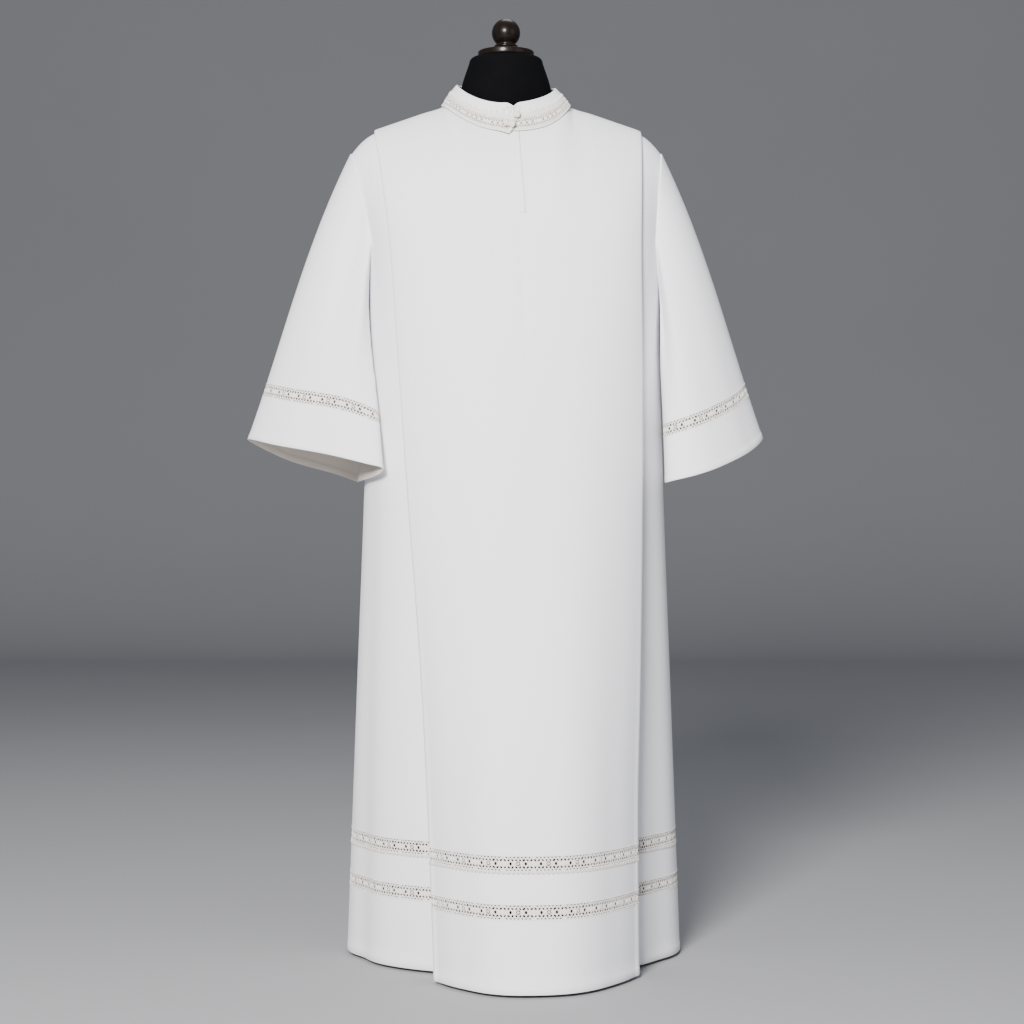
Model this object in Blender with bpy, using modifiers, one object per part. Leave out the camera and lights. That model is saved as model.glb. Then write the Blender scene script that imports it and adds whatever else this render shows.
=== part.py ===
# Alb robe with a pleated front, inset lace and wide sleeves, worn by a limbless dress form.
# Metres, +Z up. The robe's front faces -Y and the finial's axis is the Z axis.
import math

import bmesh
import bpy
import numpy as np

# Cloth and seams
CLOTH_WALL = 0.0012
COLLAR_WALL = 0.0020
LACE_WALL = 0.0010
SEAM_GAP = 0.0003
SHOULDER_GAP = 0.0008       # 0.3 mm under the wall, whose edges tilt over the shoulder
LAY_GAP = 0.0003            # between a piece and the panel that it lies on

# Heights on the hanging body, from the floor
HEM = 0.005
LOWER_LACE = (0.109, 0.131)
UPPER_LACE = (0.177, 0.199)
UNDERARM = 0.99
ARMHOLE_MIDDLE = 1.045
CHEST = 1.10
ARMHOLE_ANGLES = (0.0, 14.0, 21.0)          # degrees round from the side seam, at those three heights
# The long panels are parted at these heights, so that each part's collision follows its own hollow
BODY_PARTINGS = (0.56, UNDERARM)
BODY_HEIGHTS = {
    "lower": (UPPER_LACE[1] + SEAM_GAP / 2, 0.38, BODY_PARTINGS[0] - SEAM_GAP / 2),
    "middle": (BODY_PARTINGS[0] + SEAM_GAP / 2, 0.74, 0.90, BODY_PARTINGS[1] - SEAM_GAP / 2),
    "upper": (BODY_PARTINGS[1] + SEAM_GAP / 2, ARMHOLE_MIDDLE, CHEST),
}
YOKE_STEPS = (0.2, 0.4, 0.6, 0.8, 1.0)     # from the chest up to the shoulder or neck seam

# Shoulder line and neck seam
NECK_HALF_WIDTH = 0.098
NECK_SIDE_HEIGHT = 1.3163
NECK_FRONT = (0.085, -0.0516)               # reach forward, and its height from the neck's side
NECK_BACK = (0.068, 0.012)
NECK_RIGHT_SQUARENESS = 3.0
SHOULDER_SLOPE = 0.343
SHOULDER_TIP = 0.2388
SHOULDER_ROUND_FROM = 0.200
SHOULDER_ROUND_DROP = 0.0215
SHOULDER_ROUND_RUN = 0.040
YOKE_RISE = 0.45                            # share of the height that a chest column keeps straight
YOKE_ACROSS = 0.3                           # share of its sideways way that it goes in that stretch
YOKE_END = 0.050
YOKE_NECK_SHORTER = 0.35                    # the end's reach is this much less at the middle of the neck
NECK_TILT = math.radians(58.0)

# Lace
LACE_REPEAT = 0.044
LACE_GAP_WIDTH = 0.0060
LACE_GAP_SHARE = (0.34, 0.66)               # where a gap begins and ends in the band's width
LACE_FOLD_KEEP = 0.004                      # lace left whole on each side of a fold's points
LACE_POINT_CLEAR = 0.0015                   # the band's own points this near a gap are left out

# Sleeves
SLEEVE_AROUND = 36
SLEEVE_ROWS = 8
CUFF_HEIGHT = 0.070
SLEEVE_LACE = 0.021
SLEEVE_LACE_TRIM = 0.00045  # 0.3 mm between the halves' inner corners where the tube bends
LAP_OUT = 0.0020
SLEEVE_CLEAR = 0.006
SLEEVE_CLEAR_BY = 0.15                      # share of the length where that clearance is reached
SLEEVE_BULGE = 0.009
SLEEVE_ROW_CROWDING = 1.2
SLEEVE_FOLD_LENGTH = 0.35                   # share of the sleeve's length that a fold fades over
SLEEVE_FOLD_START = 0.08                    # folds begin this far below the armhole

# Collar
COLLAR_AROUND = 36
COLLAR_LIFT = 0.0021
COLLAR_TOP_HALF_WIDTH = 0.0755
COLLAR_TOP_REACH = (0.072, 0.058)           # forward, back
COLLAR_TOP_HEIGHT = (1.310, 1.352, 1.362)   # front, side, back
COLLAR_TOP_CURVE = 1.3                      # how the top edge falls from the side to the middle
COLLAR_RIGHT_TOP = (1.347, 1.15)             # the right side's height in front, and its curve
COLLAR_BELLY = 0.002
COLLAR_SHARES = (0.0, 0.5, 1.0)
COLLAR_LAP = math.radians(6.0)
COLLAR_LAP_OUT = 0.0040
COLLAR_LAP_BLEND = 0.06                     # share of the turn where the left end moves out
COLLAR_START = math.radians(2.0)            # the ends meet a little to the right of the middle
COLLAR_TURN = 2 * math.pi + COLLAR_LAP
COLLAR_CORNER = math.radians(9.0)
COLLAR_CORNER_DROP = 0.10                   # share of the collar's height
COLLAR_LACE_FROM = 1                        # the first column of the lace, beside the lapped end
COLLAR_LACE_PLACES = (0.08, 1.0, 1.2)       # its levels, in rows of the collar
BUTTON_STAND = 0.0010                       # level gap that leaves 0.3 mm square to the sloping lace
# Round button and toggle knot: name, level on the collar, half sizes, angle, how far the end laps
BUTTONS = (
    ("collar_button", 0.55, (0.0062, 0.0026, 0.0060), 10.4, 0.0034),
    ("collar_toggle", 0.25, (0.0105, 0.0040, 0.0052), 4.4, 0.0029),
)

# Neck slit and placket
SLIT_X = 0.0204
SLIT_GAP = 0.0008
PLACKET_WIDTH = 0.0115
PLACKET_STEPS = (0.2, 0.4, 0.6, 0.8, 0.96)

# Dress form
FORM_AROUND = 28
POLE_RADIUS = 0.0125
FOOT_RADIUS = 0.120
FOOT_HEIGHT = 0.018

SHARP_ANGLE = math.radians(50)

COLLECTION_NAME = "alb_robe_on_dress_form"


class Table:
    """Sizes by height, with straight lines between the rows."""

    def __init__(self, names, rows):
        self.heights = [row[0] for row in rows]
        self.columns = {name: [row[i + 1] for row in rows] for i, name in enumerate(names)}

    def at(self, name, height):
        return float(np.interp(height, self.heights, self.columns[name]))


# The body's plain outline, without its pleats
BODY = Table(
    ("half_width", "centre_x", "seam_y", "front_depth", "back_depth", "squareness"),
    (
        (0.005, 0.2607, 0.012, 0.054, 0.203, 0.150, 2.0),
        (0.40, 0.2450, 0.012, 0.038, 0.180, 0.138, 2.25),
        (0.74, 0.2315, 0.012, 0.024, 0.160, 0.128, 2.5),
        (0.99, 0.2245, 0.012, 0.014, 0.146, 0.122, 2.9),
        (1.10, 0.2250, 0.012, 0.010, 0.140, 0.120, 3.1),
    ),
)

PLEAT_NAMES = ("left_edge", "right_edge", "overlap", "step", "bulge", "fold_radius")
FRONT_PLEATS = Table(
    PLEAT_NAMES,
    (
        (0.005, -0.105, 0.197, 0.045, 0.068, 0.070, 0.0060),
        (0.23, -0.114, 0.196, 0.045, 0.058, 0.056, 0.0055),
        (0.46, -0.1265, 0.201, 0.044, 0.047, 0.040, 0.0050),
        (0.71, -0.146, 0.2047, 0.043, 0.034, 0.024, 0.0040),
        (0.885, -0.159, 0.2053, 0.042, 0.024, 0.012, 0.0030),
        (1.10, -0.175, 0.2035, 0.040, 0.012, 0.003, 0.0020),
        (1.30, -0.203, 0.2078, 0.040, 0.0048, 0.0, 0.0012),
    ),
)
BACK_PLEATS = Table(
    PLEAT_NAMES,
    (
        (0.005, -0.150, 0.168, 0.045, 0.050, 0.030, 0.0060),
        (0.46, -0.163, 0.178, 0.044, 0.035, 0.018, 0.0050),
        (0.885, -0.178, 0.190, 0.042, 0.020, 0.006, 0.0030),
        (1.10, -0.187, 0.195, 0.040, 0.012, 0.002, 0.0020),
        (1.30, -0.203, 0.2078, 0.040, 0.0048, 0.0, 0.0012),
    ),
)
TOP = 1.30                                  # the row of the pleat tables for the shoulder seam

# Soft folds that fall from the underarms: place round the side (degrees from the seam), depth, width
SIDE_FOLDS = {
    ("front", -1): (24.0, 0.008, 9.0),
    ("front", 1): (30.0, 0.006, 10.0),
    ("back", -1): (22.0, 0.010, 10.0),
    ("back", 1): (26.0, 0.009, 10.0),
}

# Panel columns, by where they end on the shoulder or neck seam
FRONT_PLACES = (-0.150, -0.098, -0.0865, -0.0603, -0.0395, -0.0204, 0.0, SLIT_X - SLIT_GAP / 2,
                SLIT_X + SLIT_GAP / 2, 0.0372, 0.0527, 0.0664, 0.0781, 0.0873, 0.0938, 0.098, 0.150)
BACK_PLACES = (-0.150, -0.098, -0.0865, -0.0603, -0.028, 0.0, 0.028, 0.0603, 0.0865, 0.098, 0.150)
SIDE_STEPS = 7
SIDE_CROWDING = 1.15                        # side columns lie closer together at the seam
FOLD_STEPS = 7
PANEL_ROUNDING = 2.5
SLANT_LIMIT = 1.5
SLANT_STEP = 0.002


class Face:
    """The front or the back of the body."""

    def __init__(self, name, sign, pleats, places, neck):
        self.name = name
        self.sign = sign
        self.pleats = pleats
        self.places = places
        self.neck_reach, self.neck_rise = neck
        self.depth_name = name + "_depth"


FRONT = Face("front", -1, FRONT_PLEATS, FRONT_PLACES, NECK_FRONT)
BACK = Face("back", 1, BACK_PLEATS, BACK_PLACES, NECK_BACK)


def mix(a, b, share):
    return a + (b - a) * share


def outline_y(face, height, x):
    """Depth of the body's plain outline at x."""
    power = BODY.at("squareness", height)
    share = min(1.0, abs(x - BODY.at("centre_x", height)) / BODY.at("half_width", height))
    reach = BODY.at(face.depth_name, height) * (1 - share ** power) ** (1 / power)
    return BODY.at("seam_y", height) + face.sign * (reach + SEAM_GAP / 2)


def slant(face, height, x):
    """How much longer a step towards the viewer is than one square to the outline."""
    if height >= TOP:
        return math.hypot(1.0, SHOULDER_SLOPE)
    before, after = x - SLANT_STEP, x + SLANT_STEP
    rise = (outline_y(face, height, after) - outline_y(face, height, before)) / (after - before)
    return min(SLANT_LIMIT, math.hypot(1.0, rise))


def edge_step(face, height, hand):
    """The panel's edge, its fold's half depth there, and how far the edge stands off."""
    edge = face.pleats.at("left_edge" if hand < 0 else "right_edge", height)
    half = face.pleats.at("fold_radius", height) * slant(face, height, edge)
    return edge, half, max(face.pleats.at("step", height), 4 * half)


def fold_columns(face, height, hand):
    """The pleat from its inner fold to the panel: (x, offset) from the plain outline."""
    radius = face.pleats.at("fold_radius", height)
    edge, outer_half, step = edge_step(face, height, hand)
    inner = edge - hand * face.pleats.at("overlap", height)
    inner_half = radius * slant(face, height, inner)
    first = (inner + hand * radius, 2 * inner_half)
    last = (edge - hand * radius, step - 2 * outer_half)
    under = [tuple(mix(a, b, share) for a, b in zip(first, last)) for share in (1 / 3, 2 / 3)]
    return [(inner, inner_half), first, *under, last, (edge, step - outer_half),
            (edge - hand * radius, step)]


def panel_columns(face, height):
    """The broad middle panel between the two pleats."""
    def span(level):
        radius = face.pleats.at("fold_radius", level)
        return edge_step(face, level, -1)[0] + radius, edge_step(face, level, 1)[0] - radius

    top_left, top_right = span(TOP)
    left, right = span(height)
    left_step, right_step = (edge_step(face, height, hand)[2] for hand in (-1, 1))
    columns = []
    for place in face.places:
        share = (place - top_left) / (top_right - top_left)
        bulge = face.pleats.at("bulge", height) * (1 - abs(2 * share - 1) ** PANEL_ROUNDING)
        columns.append((mix(left, right, share), mix(left_step, right_step, share) + bulge))
    return columns


def armhole_angle(height):
    """How far round from the side seam the armhole's edge lies, in degrees."""
    return float(np.interp(height, (UNDERARM, ARMHOLE_MIDDLE, CHEST), ARMHOLE_ANGLES))


def side_points(face, height, hand):
    """The side panel from its seam or armhole in to the pleat, as (x, y)."""
    power = BODY.at("squareness", height)
    half_width = BODY.at("half_width", height)
    centre_x = BODY.at("centre_x", height)
    radius = face.pleats.at("fold_radius", height)
    last_x = fold_columns(face, height, hand)[0][0] + hand * radius
    start = math.radians(armhole_angle(height))
    end = math.acos(min(1.0, (abs(last_x - centre_x) / half_width) ** (power / 2)))
    place, depth, width = SIDE_FOLDS[(face.name, hand)]
    fade = max(0.0, 1 - height / UNDERARM)
    points = []
    for i in range(SIDE_STEPS):
        angle = mix(start, end, (i / (SIDE_STEPS - 1)) ** SIDE_CROWDING)
        x = centre_x + hand * half_width * math.cos(angle) ** (2 / power)
        y = outline_y(face, height, x)
        dent = depth * fade * math.exp(-((math.degrees(angle) - place) / width) ** 2)
        if i in (0, SIDE_STEPS - 1):
            dent = 0.0
        points.append((x - hand * dent * math.cos(angle), y - face.sign * dent * math.sin(angle)))
    return points


def body_section(face, height):
    """All columns of one face at one height, from its left side seam to its right one."""
    def pleat(hand):
        return [(x, outline_y(face, height, x) + face.sign * offset)
                for x, offset in fold_columns(face, height, hand)]

    panel = [(x, outline_y(face, height, x) + face.sign * offset)
             for x, offset in panel_columns(face, height)]
    left = side_points(face, height, -1) + pleat(-1)
    right = side_points(face, height, 1) + pleat(1)
    return [(x, y, height) for x, y in left + panel + right[::-1]]


def shoulder_height(x):
    """Height of the shoulder line under the pleats' top layer."""
    top_layer = FRONT_PLEATS.at("step", TOP)
    height = NECK_SIDE_HEIGHT - top_layer - SHOULDER_SLOPE * (abs(x) - NECK_HALF_WIDTH)
    beyond = max(0.0, abs(x) - SHOULDER_ROUND_FROM) / SHOULDER_ROUND_RUN
    return height - SHOULDER_ROUND_DROP * beyond ** 2


def neck_forward(sign, x):
    """How far round towards the middle of the neck a place is: 0 at its side, 1 at the middle."""
    power = NECK_RIGHT_SQUARENESS if sign < 0 < x else 2.0
    return max(0.0, 1 - (abs(x) / NECK_HALF_WIDTH) ** power) ** (1 / power)


def seam_point(face, x, offset):
    """Where a column ends on the shoulder or neck seam: its base point and its end tilt."""
    if abs(x) > NECK_HALF_WIDTH - 1e-6:
        return (x, face.sign * SHOULDER_GAP / 2, shoulder_height(x)), 0.0
    forward = neck_forward(face.sign, x)
    tilt = NECK_TILT * forward
    y = face.sign * (SHOULDER_GAP / 2 + face.neck_reach * forward - offset * math.sin(tilt))
    z = NECK_SIDE_HEIGHT + face.neck_rise * forward ** 2 - offset * math.cos(tilt)
    return (x, y, z), tilt


def yoke_columns(face):
    """For each column: its chest point, seam point, layer offsets and end tilt."""
    chest = body_section(face, CHEST)
    count = len(chest)
    folds = [fold_columns(face, CHEST, hand) for hand in (-1, 1)]
    top_folds = [fold_columns(face, TOP, hand) for hand in (-1, 1)]
    inner = [(fold[0][0] + hand * fold[0][1]) for fold, hand in zip(top_folds, (-1, 1))]
    sides = [[(mix(hand * SHOULDER_TIP, edge, i / (SIDE_STEPS - 1)), 0.0) for i in range(SIDE_STEPS)]
             for hand, edge in zip((-1, 1), inner)]
    chest_offsets = ([0.0] * SIDE_STEPS + [o for _, o in folds[0]]
                     + [o for _, o in panel_columns(face, CHEST)]
                     + [o for _, o in folds[1]][::-1] + [0.0] * SIDE_STEPS)
    tops = (sides[0] + top_folds[0] + panel_columns(face, TOP)
            + top_folds[1][::-1] + sides[1][::-1])
    columns = []
    for i in range(count):
        x, y, z = chest[i]
        top_x, top_offset = tops[i]
        base, tilt = seam_point(face, top_x, top_offset)
        start = np.array((x, y - face.sign * chest_offsets[i], z))
        columns.append((start, np.array(base), chest_offsets[i], top_offset, tilt))
    return columns


def yoke_row(face, step):
    """The body's points at one step between the chest and the seams."""
    row = []
    for start, end, low_offset, high_offset, tilt in yoke_columns(face):
        rise = end[2] - start[2]
        lean = np.array((0.0, -face.sign * math.cos(tilt), math.sin(tilt)))
        first = start + np.array(((end[0] - start[0]) * YOKE_ACROSS, 0.0, rise * YOKE_RISE))
        reach = YOKE_END * (1 - YOKE_NECK_SHORTER * tilt / NECK_TILT)
        second = end - lean * reach
        back = 1 - step
        point = (start * back ** 3 + first * 3 * back ** 2 * step
                 + second * 3 * back * step ** 2 + end * step ** 3)
        slope = ((first - start) * back ** 2 + (second - first) * 2 * back * step
                 + (end - second) * step ** 2)
        normal = np.array((0.0, face.sign * slope[2], -face.sign * slope[1]))
        normal /= np.linalg.norm(normal)
        offset = mix(low_offset, high_offset, step)
        row.append(tuple(point + normal * offset))
    return row


def new_material(name, colour, roughness, metallic=0.0):
    material = bpy.data.materials.new(name)
    material.use_nodes = True
    shader = material.node_tree.nodes["Principled BSDF"]
    shader.inputs["Base Color"].default_value = (*colour, 1.0)
    shader.inputs["Roughness"].default_value = roughness
    shader.inputs["Metallic"].default_value = metallic
    return material


def add_object(name, points, faces, material, wall=None):
    """A mesh object in the part's collection; an open surface gets a wall of real thickness."""
    mesh = bpy.data.meshes.new(name)
    mesh.from_pydata([tuple(p) for p in points], [], faces)
    mesh.update()
    mesh.materials.append(material)
    part = bpy.data.objects.new(name, mesh)
    bpy.data.collections[COLLECTION_NAME].objects.link(part)
    mesh.shade_smooth()
    mesh.set_sharp_from_angle(angle=SHARP_ANGLE)
    if wall:
        solidify = part.modifiers.new("wall", "SOLIDIFY")
        solidify.thickness = wall
        solidify.offset = 0.0
    return part


def grid_faces(rows, columns, leave_out=()):
    """Quads of a grid, row by row, without the cells that are open."""
    faces = []
    for r in range(rows - 1):
        for c in range(columns - 1):
            if (r, c) not in leave_out:
                low = r * columns + c
                faces.append((low, low + 1, low + columns + 1, low + columns))
    return faces


def add_grid(name, rows, material, wall, leave_out=()):
    points = [p for row in rows for p in row]
    return add_object(name, points, grid_faces(len(rows), len(rows[0]), leave_out), material, wall)


def body_rows(face, part):
    """Rows of one part of the body, the upper one as far as the shoulder and neck seams."""
    rows = [body_section(face, height) for height in BODY_HEIGHTS[part]]
    if part == "upper":
        rows += [yoke_row(face, step) for step in YOKE_STEPS]
    return rows


def slit_cells():
    """Grid cells that are open at the neck slit, above the yoke's first step."""
    column = SIDE_STEPS + FOLD_STEPS + FRONT.places.index(SLIT_X - SLIT_GAP / 2)
    first_row = len(BODY_HEIGHTS["upper"])
    return {(row, column) for row in range(first_row, first_row + len(YOKE_STEPS) - 1)}


def fold_indexes(face):
    """Columns of a section that belong to the pleats' round folds."""
    left = [SIDE_STEPS - 1 + i for i in range(FOLD_STEPS + 1)]
    last = 2 * (SIDE_STEPS + FOLD_STEPS) + len(face.places) - 1
    return left + [last - i for i in left]


def length_marks(points):
    """Running length along a row of points."""
    steps = [math.dist(a, b) for a, b in zip(points, points[1:])]
    return [0.0] + list(np.cumsum(steps))


def along(points, place):
    """Point at a fractional index along a row of points."""
    i = min(int(place), len(points) - 2)
    return tuple(mix(a, b, place - i) for a, b in zip(points[i], points[i + 1]))


def lace_band(name, section, low, high, keep_whole, material):
    """A lace strip between two levels, with the largest gap of each repeat cut through."""
    marks = length_marks(section(mix(low, high, 0.5)))
    total = marks[-1]
    count = round(total / LACE_REPEAT)
    gaps = []
    for i in range(count):
        middle = (i + 0.5) * total / count
        start, end = middle - LACE_GAP_WIDTH / 2, middle + LACE_GAP_WIDTH / 2
        folds = [marks[k] for k in keep_whole]
        if all(mark < start - LACE_FOLD_KEEP or mark > end + LACE_FOLD_KEEP for mark in folds):
            gaps.append((start, end))
    clear = LACE_POINT_CLEAR
    stations = [(mark, False) for mark in marks
                if all(mark < start - clear or mark > end + clear for start, end in gaps)]
    stations += [(edge, True) for gap in gaps for edge in gap]
    stations.sort()
    levels = [low + SEAM_GAP / 2] + [mix(low, high, share) for share in LACE_GAP_SHARE]
    levels.append(high - SEAM_GAP / 2)
    rows = [section(level) for level in levels]
    index = range(len(marks))
    points = []
    columns = []
    for mark, at_gap in stations:
        place = float(np.interp(mark, marks, index))
        used = rows if at_gap else (rows[0], rows[-1])
        columns.append(list(range(len(points), len(points) + len(used))))
        points += [along(row, place) for row in used]
    faces = []
    for (mark, at_gap), left, right in zip(stations, columns, columns[1:]):
        if at_gap and any(abs(mark - gap[0]) < 1e-9 for gap in gaps):
            faces.append((left[0], right[0], right[1], left[1]))
            faces.append((left[2], right[2], right[3], left[3]))
        else:
            faces.append(tuple(left[::-1] + right))
    add_object(name, points, faces, material, LACE_WALL)
    return len(gaps)


def build_body(cloth, lace):
    for face in (FRONT, BACK):
        for part in BODY_HEIGHTS:
            open_cells = slit_cells() if face is FRONT and part == "upper" else ()
            add_grid(face.name + "_" + part, body_rows(face, part), cloth, CLOTH_WALL, open_cells)

        def section(height, face=face):
            return body_section(face, height)

        def cloth_band(name, low, high, face=face):
            heights = (low, high - SEAM_GAP / 2)
            add_grid(name, [body_section(face, h) for h in heights], cloth, CLOTH_WALL)

        folds = fold_indexes(face)
        lace_band("lace_upper_" + face.name, section, *UPPER_LACE, folds, lace)
        cloth_band(face.name + "_mid_band", LOWER_LACE[1] + SEAM_GAP / 2, UPPER_LACE[0])
        lace_band("lace_lower_" + face.name, section, *LOWER_LACE, folds, lace)
        cloth_band(face.name + "_hem_band", HEM, LOWER_LACE[0])


# The sleeves' open ends, once round from the outer point by the front: x, y, z of the edge
LEFT_CUFF = {
    "outer": (-0.400, 0.000, 0.802),
    "front_outer": (-0.346, -0.062, 0.791),
    "front_middle": (-0.270, -0.098, 0.777),
    "front_inner": (-0.212, -0.113, 0.763),
    "inner_fold": (-0.1845, -0.112, 0.7555),
    "inner_turn": (-0.196, -0.088, 0.745),
    "inner_side": (-0.2255, -0.025, 0.7375),
    "back_inner": (-0.235, 0.035, 0.738),
    "back_middle": (-0.270, 0.075, 0.750),
    "back_outer": (-0.345, 0.060, 0.772),
}
RIGHT_CUFF = {
    "outer": (0.397, 0.000, 0.805),
    "front_outer": (0.371, -0.062, 0.782),
    "front_middle": (0.324, -0.105, 0.759),
    "front_inner": (0.287, -0.120, 0.746),
    "inner_fold": (0.2505, -0.115, 0.737),
    "inner_turn": (0.2405, -0.090, 0.734),
    "inner_side": (0.250, -0.030, 0.738),
    "back_inner": (0.258, 0.050, 0.748),
    "back_middle": (0.295, 0.115, 0.770),
    "back_outer": (0.360, 0.090, 0.792),
}
# Soft folds down each sleeve: place round it (share), width (share), depth, where it is deepest
SLEEVE_FOLDS = {
    -1: ((0.20, 0.035, -0.006, 0.15), (0.30, 0.04, 0.005, 0.25), (0.72, 0.04, -0.007, 0.30)),
    1: ((0.34, 0.030, -0.010, 0.20), (0.42, 0.035, 0.006, 0.25), (0.72, 0.04, -0.007, 0.30)),
}


def even_points(points, count):
    """Points at even lengths along a row of points, both ends included."""
    marks = length_marks(points)
    places = np.interp(np.linspace(0, marks[-1], count), marks, range(len(points)))
    return [np.array(along(points, place)) for place in places]


def closed_curve(points, steps=12):
    """A smooth closed curve through the points."""
    count = len(points)
    curve = []
    for i in range(count):
        a, b, c, d = (np.array(points[(i + k) % count]) for k in (-1, 0, 1, 2))
        for s in range(steps):
            t = s / steps
            curve.append(0.5 * (2 * b + (c - a) * t + (2 * a - 5 * b + 4 * c - d) * t ** 2
                                + (3 * b - a - 3 * c + d) * t ** 3))
    curve.append(curve[0])
    return curve


def armhole_loop(hand):
    """The armhole once round from the shoulder tip by the front, moved out to lap the body."""
    halves = []
    for face in (FRONT, BACK):
        column = 0 if hand < 0 else -1
        edge = [body_section(face, height)[column] for height in (UNDERARM, ARMHOLE_MIDDLE, CHEST)]
        edge += [yoke_row(face, step)[column] for step in YOKE_STEPS]
        points = even_points(edge[::-1], SLEEVE_AROUND // 2 + 1)
        moved = []
        for i, point in enumerate(points):
            rise = 1 - i / (SLEEVE_AROUND // 2)
            swell = math.sin(math.pi * rise)
            out = np.array((hand * 1.0, face.sign * swell, max(0.0, 2 * rise - 1)))
            moved.append(point + out / np.linalg.norm(out) * LAP_OUT)
        halves.append(moved)
    front, back = halves
    return front + back[::-1][1:-1]


def push_clear(point, clearance):
    """Move a sleeve's point outward where it would touch the hanging body."""
    height = min(point[2], CHEST)
    if point[2] > CHEST:
        return point
    power = BODY.at("squareness", height)
    centre_x, seam_y = BODY.at("centre_x", height), BODY.at("seam_y", height)
    depth = BODY.at("front_depth" if point[1] < seam_y else "back_depth", height) + clearance
    half_width = BODY.at("half_width", height) + clearance
    size = (abs((point[0] - centre_x) / half_width) ** power
            + abs((point[1] - seam_y) / depth) ** power) ** (1 / power)
    if size >= 1:
        return point
    return np.array((centre_x + (point[0] - centre_x) / size,
                     seam_y + (point[1] - seam_y) / size, point[2]))


class Sleeve:
    """Lines that run from the armhole to the open end, one for each place round the sleeve."""

    def __init__(self, hand):
        self.hand = hand
        self.start = armhole_loop(hand)
        end = closed_curve(list((LEFT_CUFF if hand < 0 else RIGHT_CUFF).values()))
        self.end = even_points(end, SLEEVE_AROUND + 1)[:-1]
        self.lengths = [math.dist(a, b) for a, b in zip(self.start, self.end)]
        self.centre = np.mean(self.end, axis=0)

    def point(self, i, share):
        i %= SLEEVE_AROUND
        point = mix(self.start[i], self.end[i], share)
        around = i / SLEEVE_AROUND
        swell = 27 / 4 * share * (1 - share) ** 2        # 1 a third of the way down, 0 at both ends
        outer = max(0.0, math.cos(2 * math.pi * around))
        point = point + np.array((self.hand * SLEEVE_BULGE * swell * outer, 0.0, 0.0))
        middle = mix(np.mean(self.start, axis=0), self.centre, share)
        out = point - middle
        out[2] = 0.0
        out /= np.linalg.norm(out)
        for place, width, depth, peak in SLEEVE_FOLDS[self.hand]:
            near = math.exp(-((around - place) / width) ** 2)
            along_it = math.exp(-((share - peak) / SLEEVE_FOLD_LENGTH) ** 2)
            along_it *= min(1.0, share / SLEEVE_FOLD_START)
            point = point + out * depth * near * along_it
        clearance = mix(LAP_OUT, SLEEVE_CLEAR, min(1.0, share / SLEEVE_CLEAR_BY))
        return push_clear(point, clearance)

    def ring(self, above_end, indexes=None):
        """One ring at a set distance above the open end."""
        indexes = range(SLEEVE_AROUND) if indexes is None else indexes
        return [self.point(i, 1 - above_end / self.lengths[i % SLEEVE_AROUND]) for i in indexes]


def tube_faces(rows, columns):
    faces = []
    for r in range(rows - 1):
        for c in range(columns):
            low, right = r * columns + c, r * columns + (c + 1) % columns
            faces.append((low, right, right + columns, low + columns))
    return faces


def add_tube(name, rings, material, wall):
    points = [p for ring in rings for p in ring]
    return add_object(name, points, tube_faces(len(rings), len(rings[0])), material, wall)


def build_sleeves(cloth, lace):
    half = SLEEVE_AROUND // 2
    for hand, side in ((-1, "left"), (1, "right")):
        sleeve = Sleeve(hand)
        lace_top = CUFF_HEIGHT + SLEEVE_LACE
        rings = []
        for row in range(SLEEVE_ROWS):
            fall = (row / (SLEEVE_ROWS - 1)) ** SLEEVE_ROW_CROWDING
            ends = [1 - (lace_top + SEAM_GAP / 2) / length for length in sleeve.lengths]
            rings.append([sleeve.point(i, ends[i] * fall) for i in range(SLEEVE_AROUND)])
        add_tube("sleeve_" + side, rings, cloth, CLOTH_WALL)
        cuff = [sleeve.ring(level) for level in (CUFF_HEIGHT - SEAM_GAP / 2, 0.0)]
        add_tube("sleeve_" + side + "_cuff", cuff, cloth, CLOTH_WALL)
        for face, first in (("front", 0), ("back", half)):
            indexes = list(range(first, first + half + 1))

            def section(level, indexes=indexes):
                ring = sleeve.ring(level, indexes)
                return trim_ends(ring)

            lace_band(f"sleeve_{side}_lace_{face}", section, CUFF_HEIGHT, lace_top, (), lace)


def trim_ends(points):
    """Shorten a row at both ends for the seam between the lace's halves."""
    points = [np.array(p) for p in points]
    for end, inner in ((0, 1), (-1, -2)):
        pull = points[inner] - points[end]
        points[end] = points[end] + pull / np.linalg.norm(pull) * SLEEVE_LACE_TRIM
    return points


def collar_point(angle, share, lap=0.0):
    """Point of the standing collar. The angle runs from the front by the right side to the back."""
    ahead = math.cos(angle)
    across = math.sin(angle)
    if ahead > 0:
        low_reach, low_rise = NECK_FRONT
        high_reach, high_end = COLLAR_TOP_REACH[0], COLLAR_TOP_HEIGHT[0]
    else:
        low_reach, low_rise = NECK_BACK
        high_reach, high_end = COLLAR_TOP_REACH[1], COLLAR_TOP_HEIGHT[2]
    side_height, curve = COLLAR_TOP_HEIGHT[1], COLLAR_TOP_CURVE
    forward = abs(ahead)
    if across > 0:
        side_height = mix(side_height, COLLAR_RIGHT_TOP[0], across)
    if across > 0 and ahead > 0:
        curve = COLLAR_RIGHT_TOP[1]
        forward = neck_forward(-1, NECK_HALF_WIDTH * across)
    low = np.array((NECK_HALF_WIDTH * across, -low_reach * math.copysign(forward, ahead),
                    NECK_SIDE_HEIGHT + COLLAR_LIFT + low_rise * forward ** 2))
    high = np.array((COLLAR_TOP_HALF_WIDTH * across, -high_reach * ahead,
                     side_height + (high_end - side_height) * abs(ahead) ** curve))
    out = np.array((across * low_reach, -ahead * NECK_HALF_WIDTH, 0.0))
    out /= np.linalg.norm(out)
    belly = COLLAR_BELLY * math.sin(math.pi * share)
    return mix(low, high, share) + out * (lap + belly)


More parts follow.
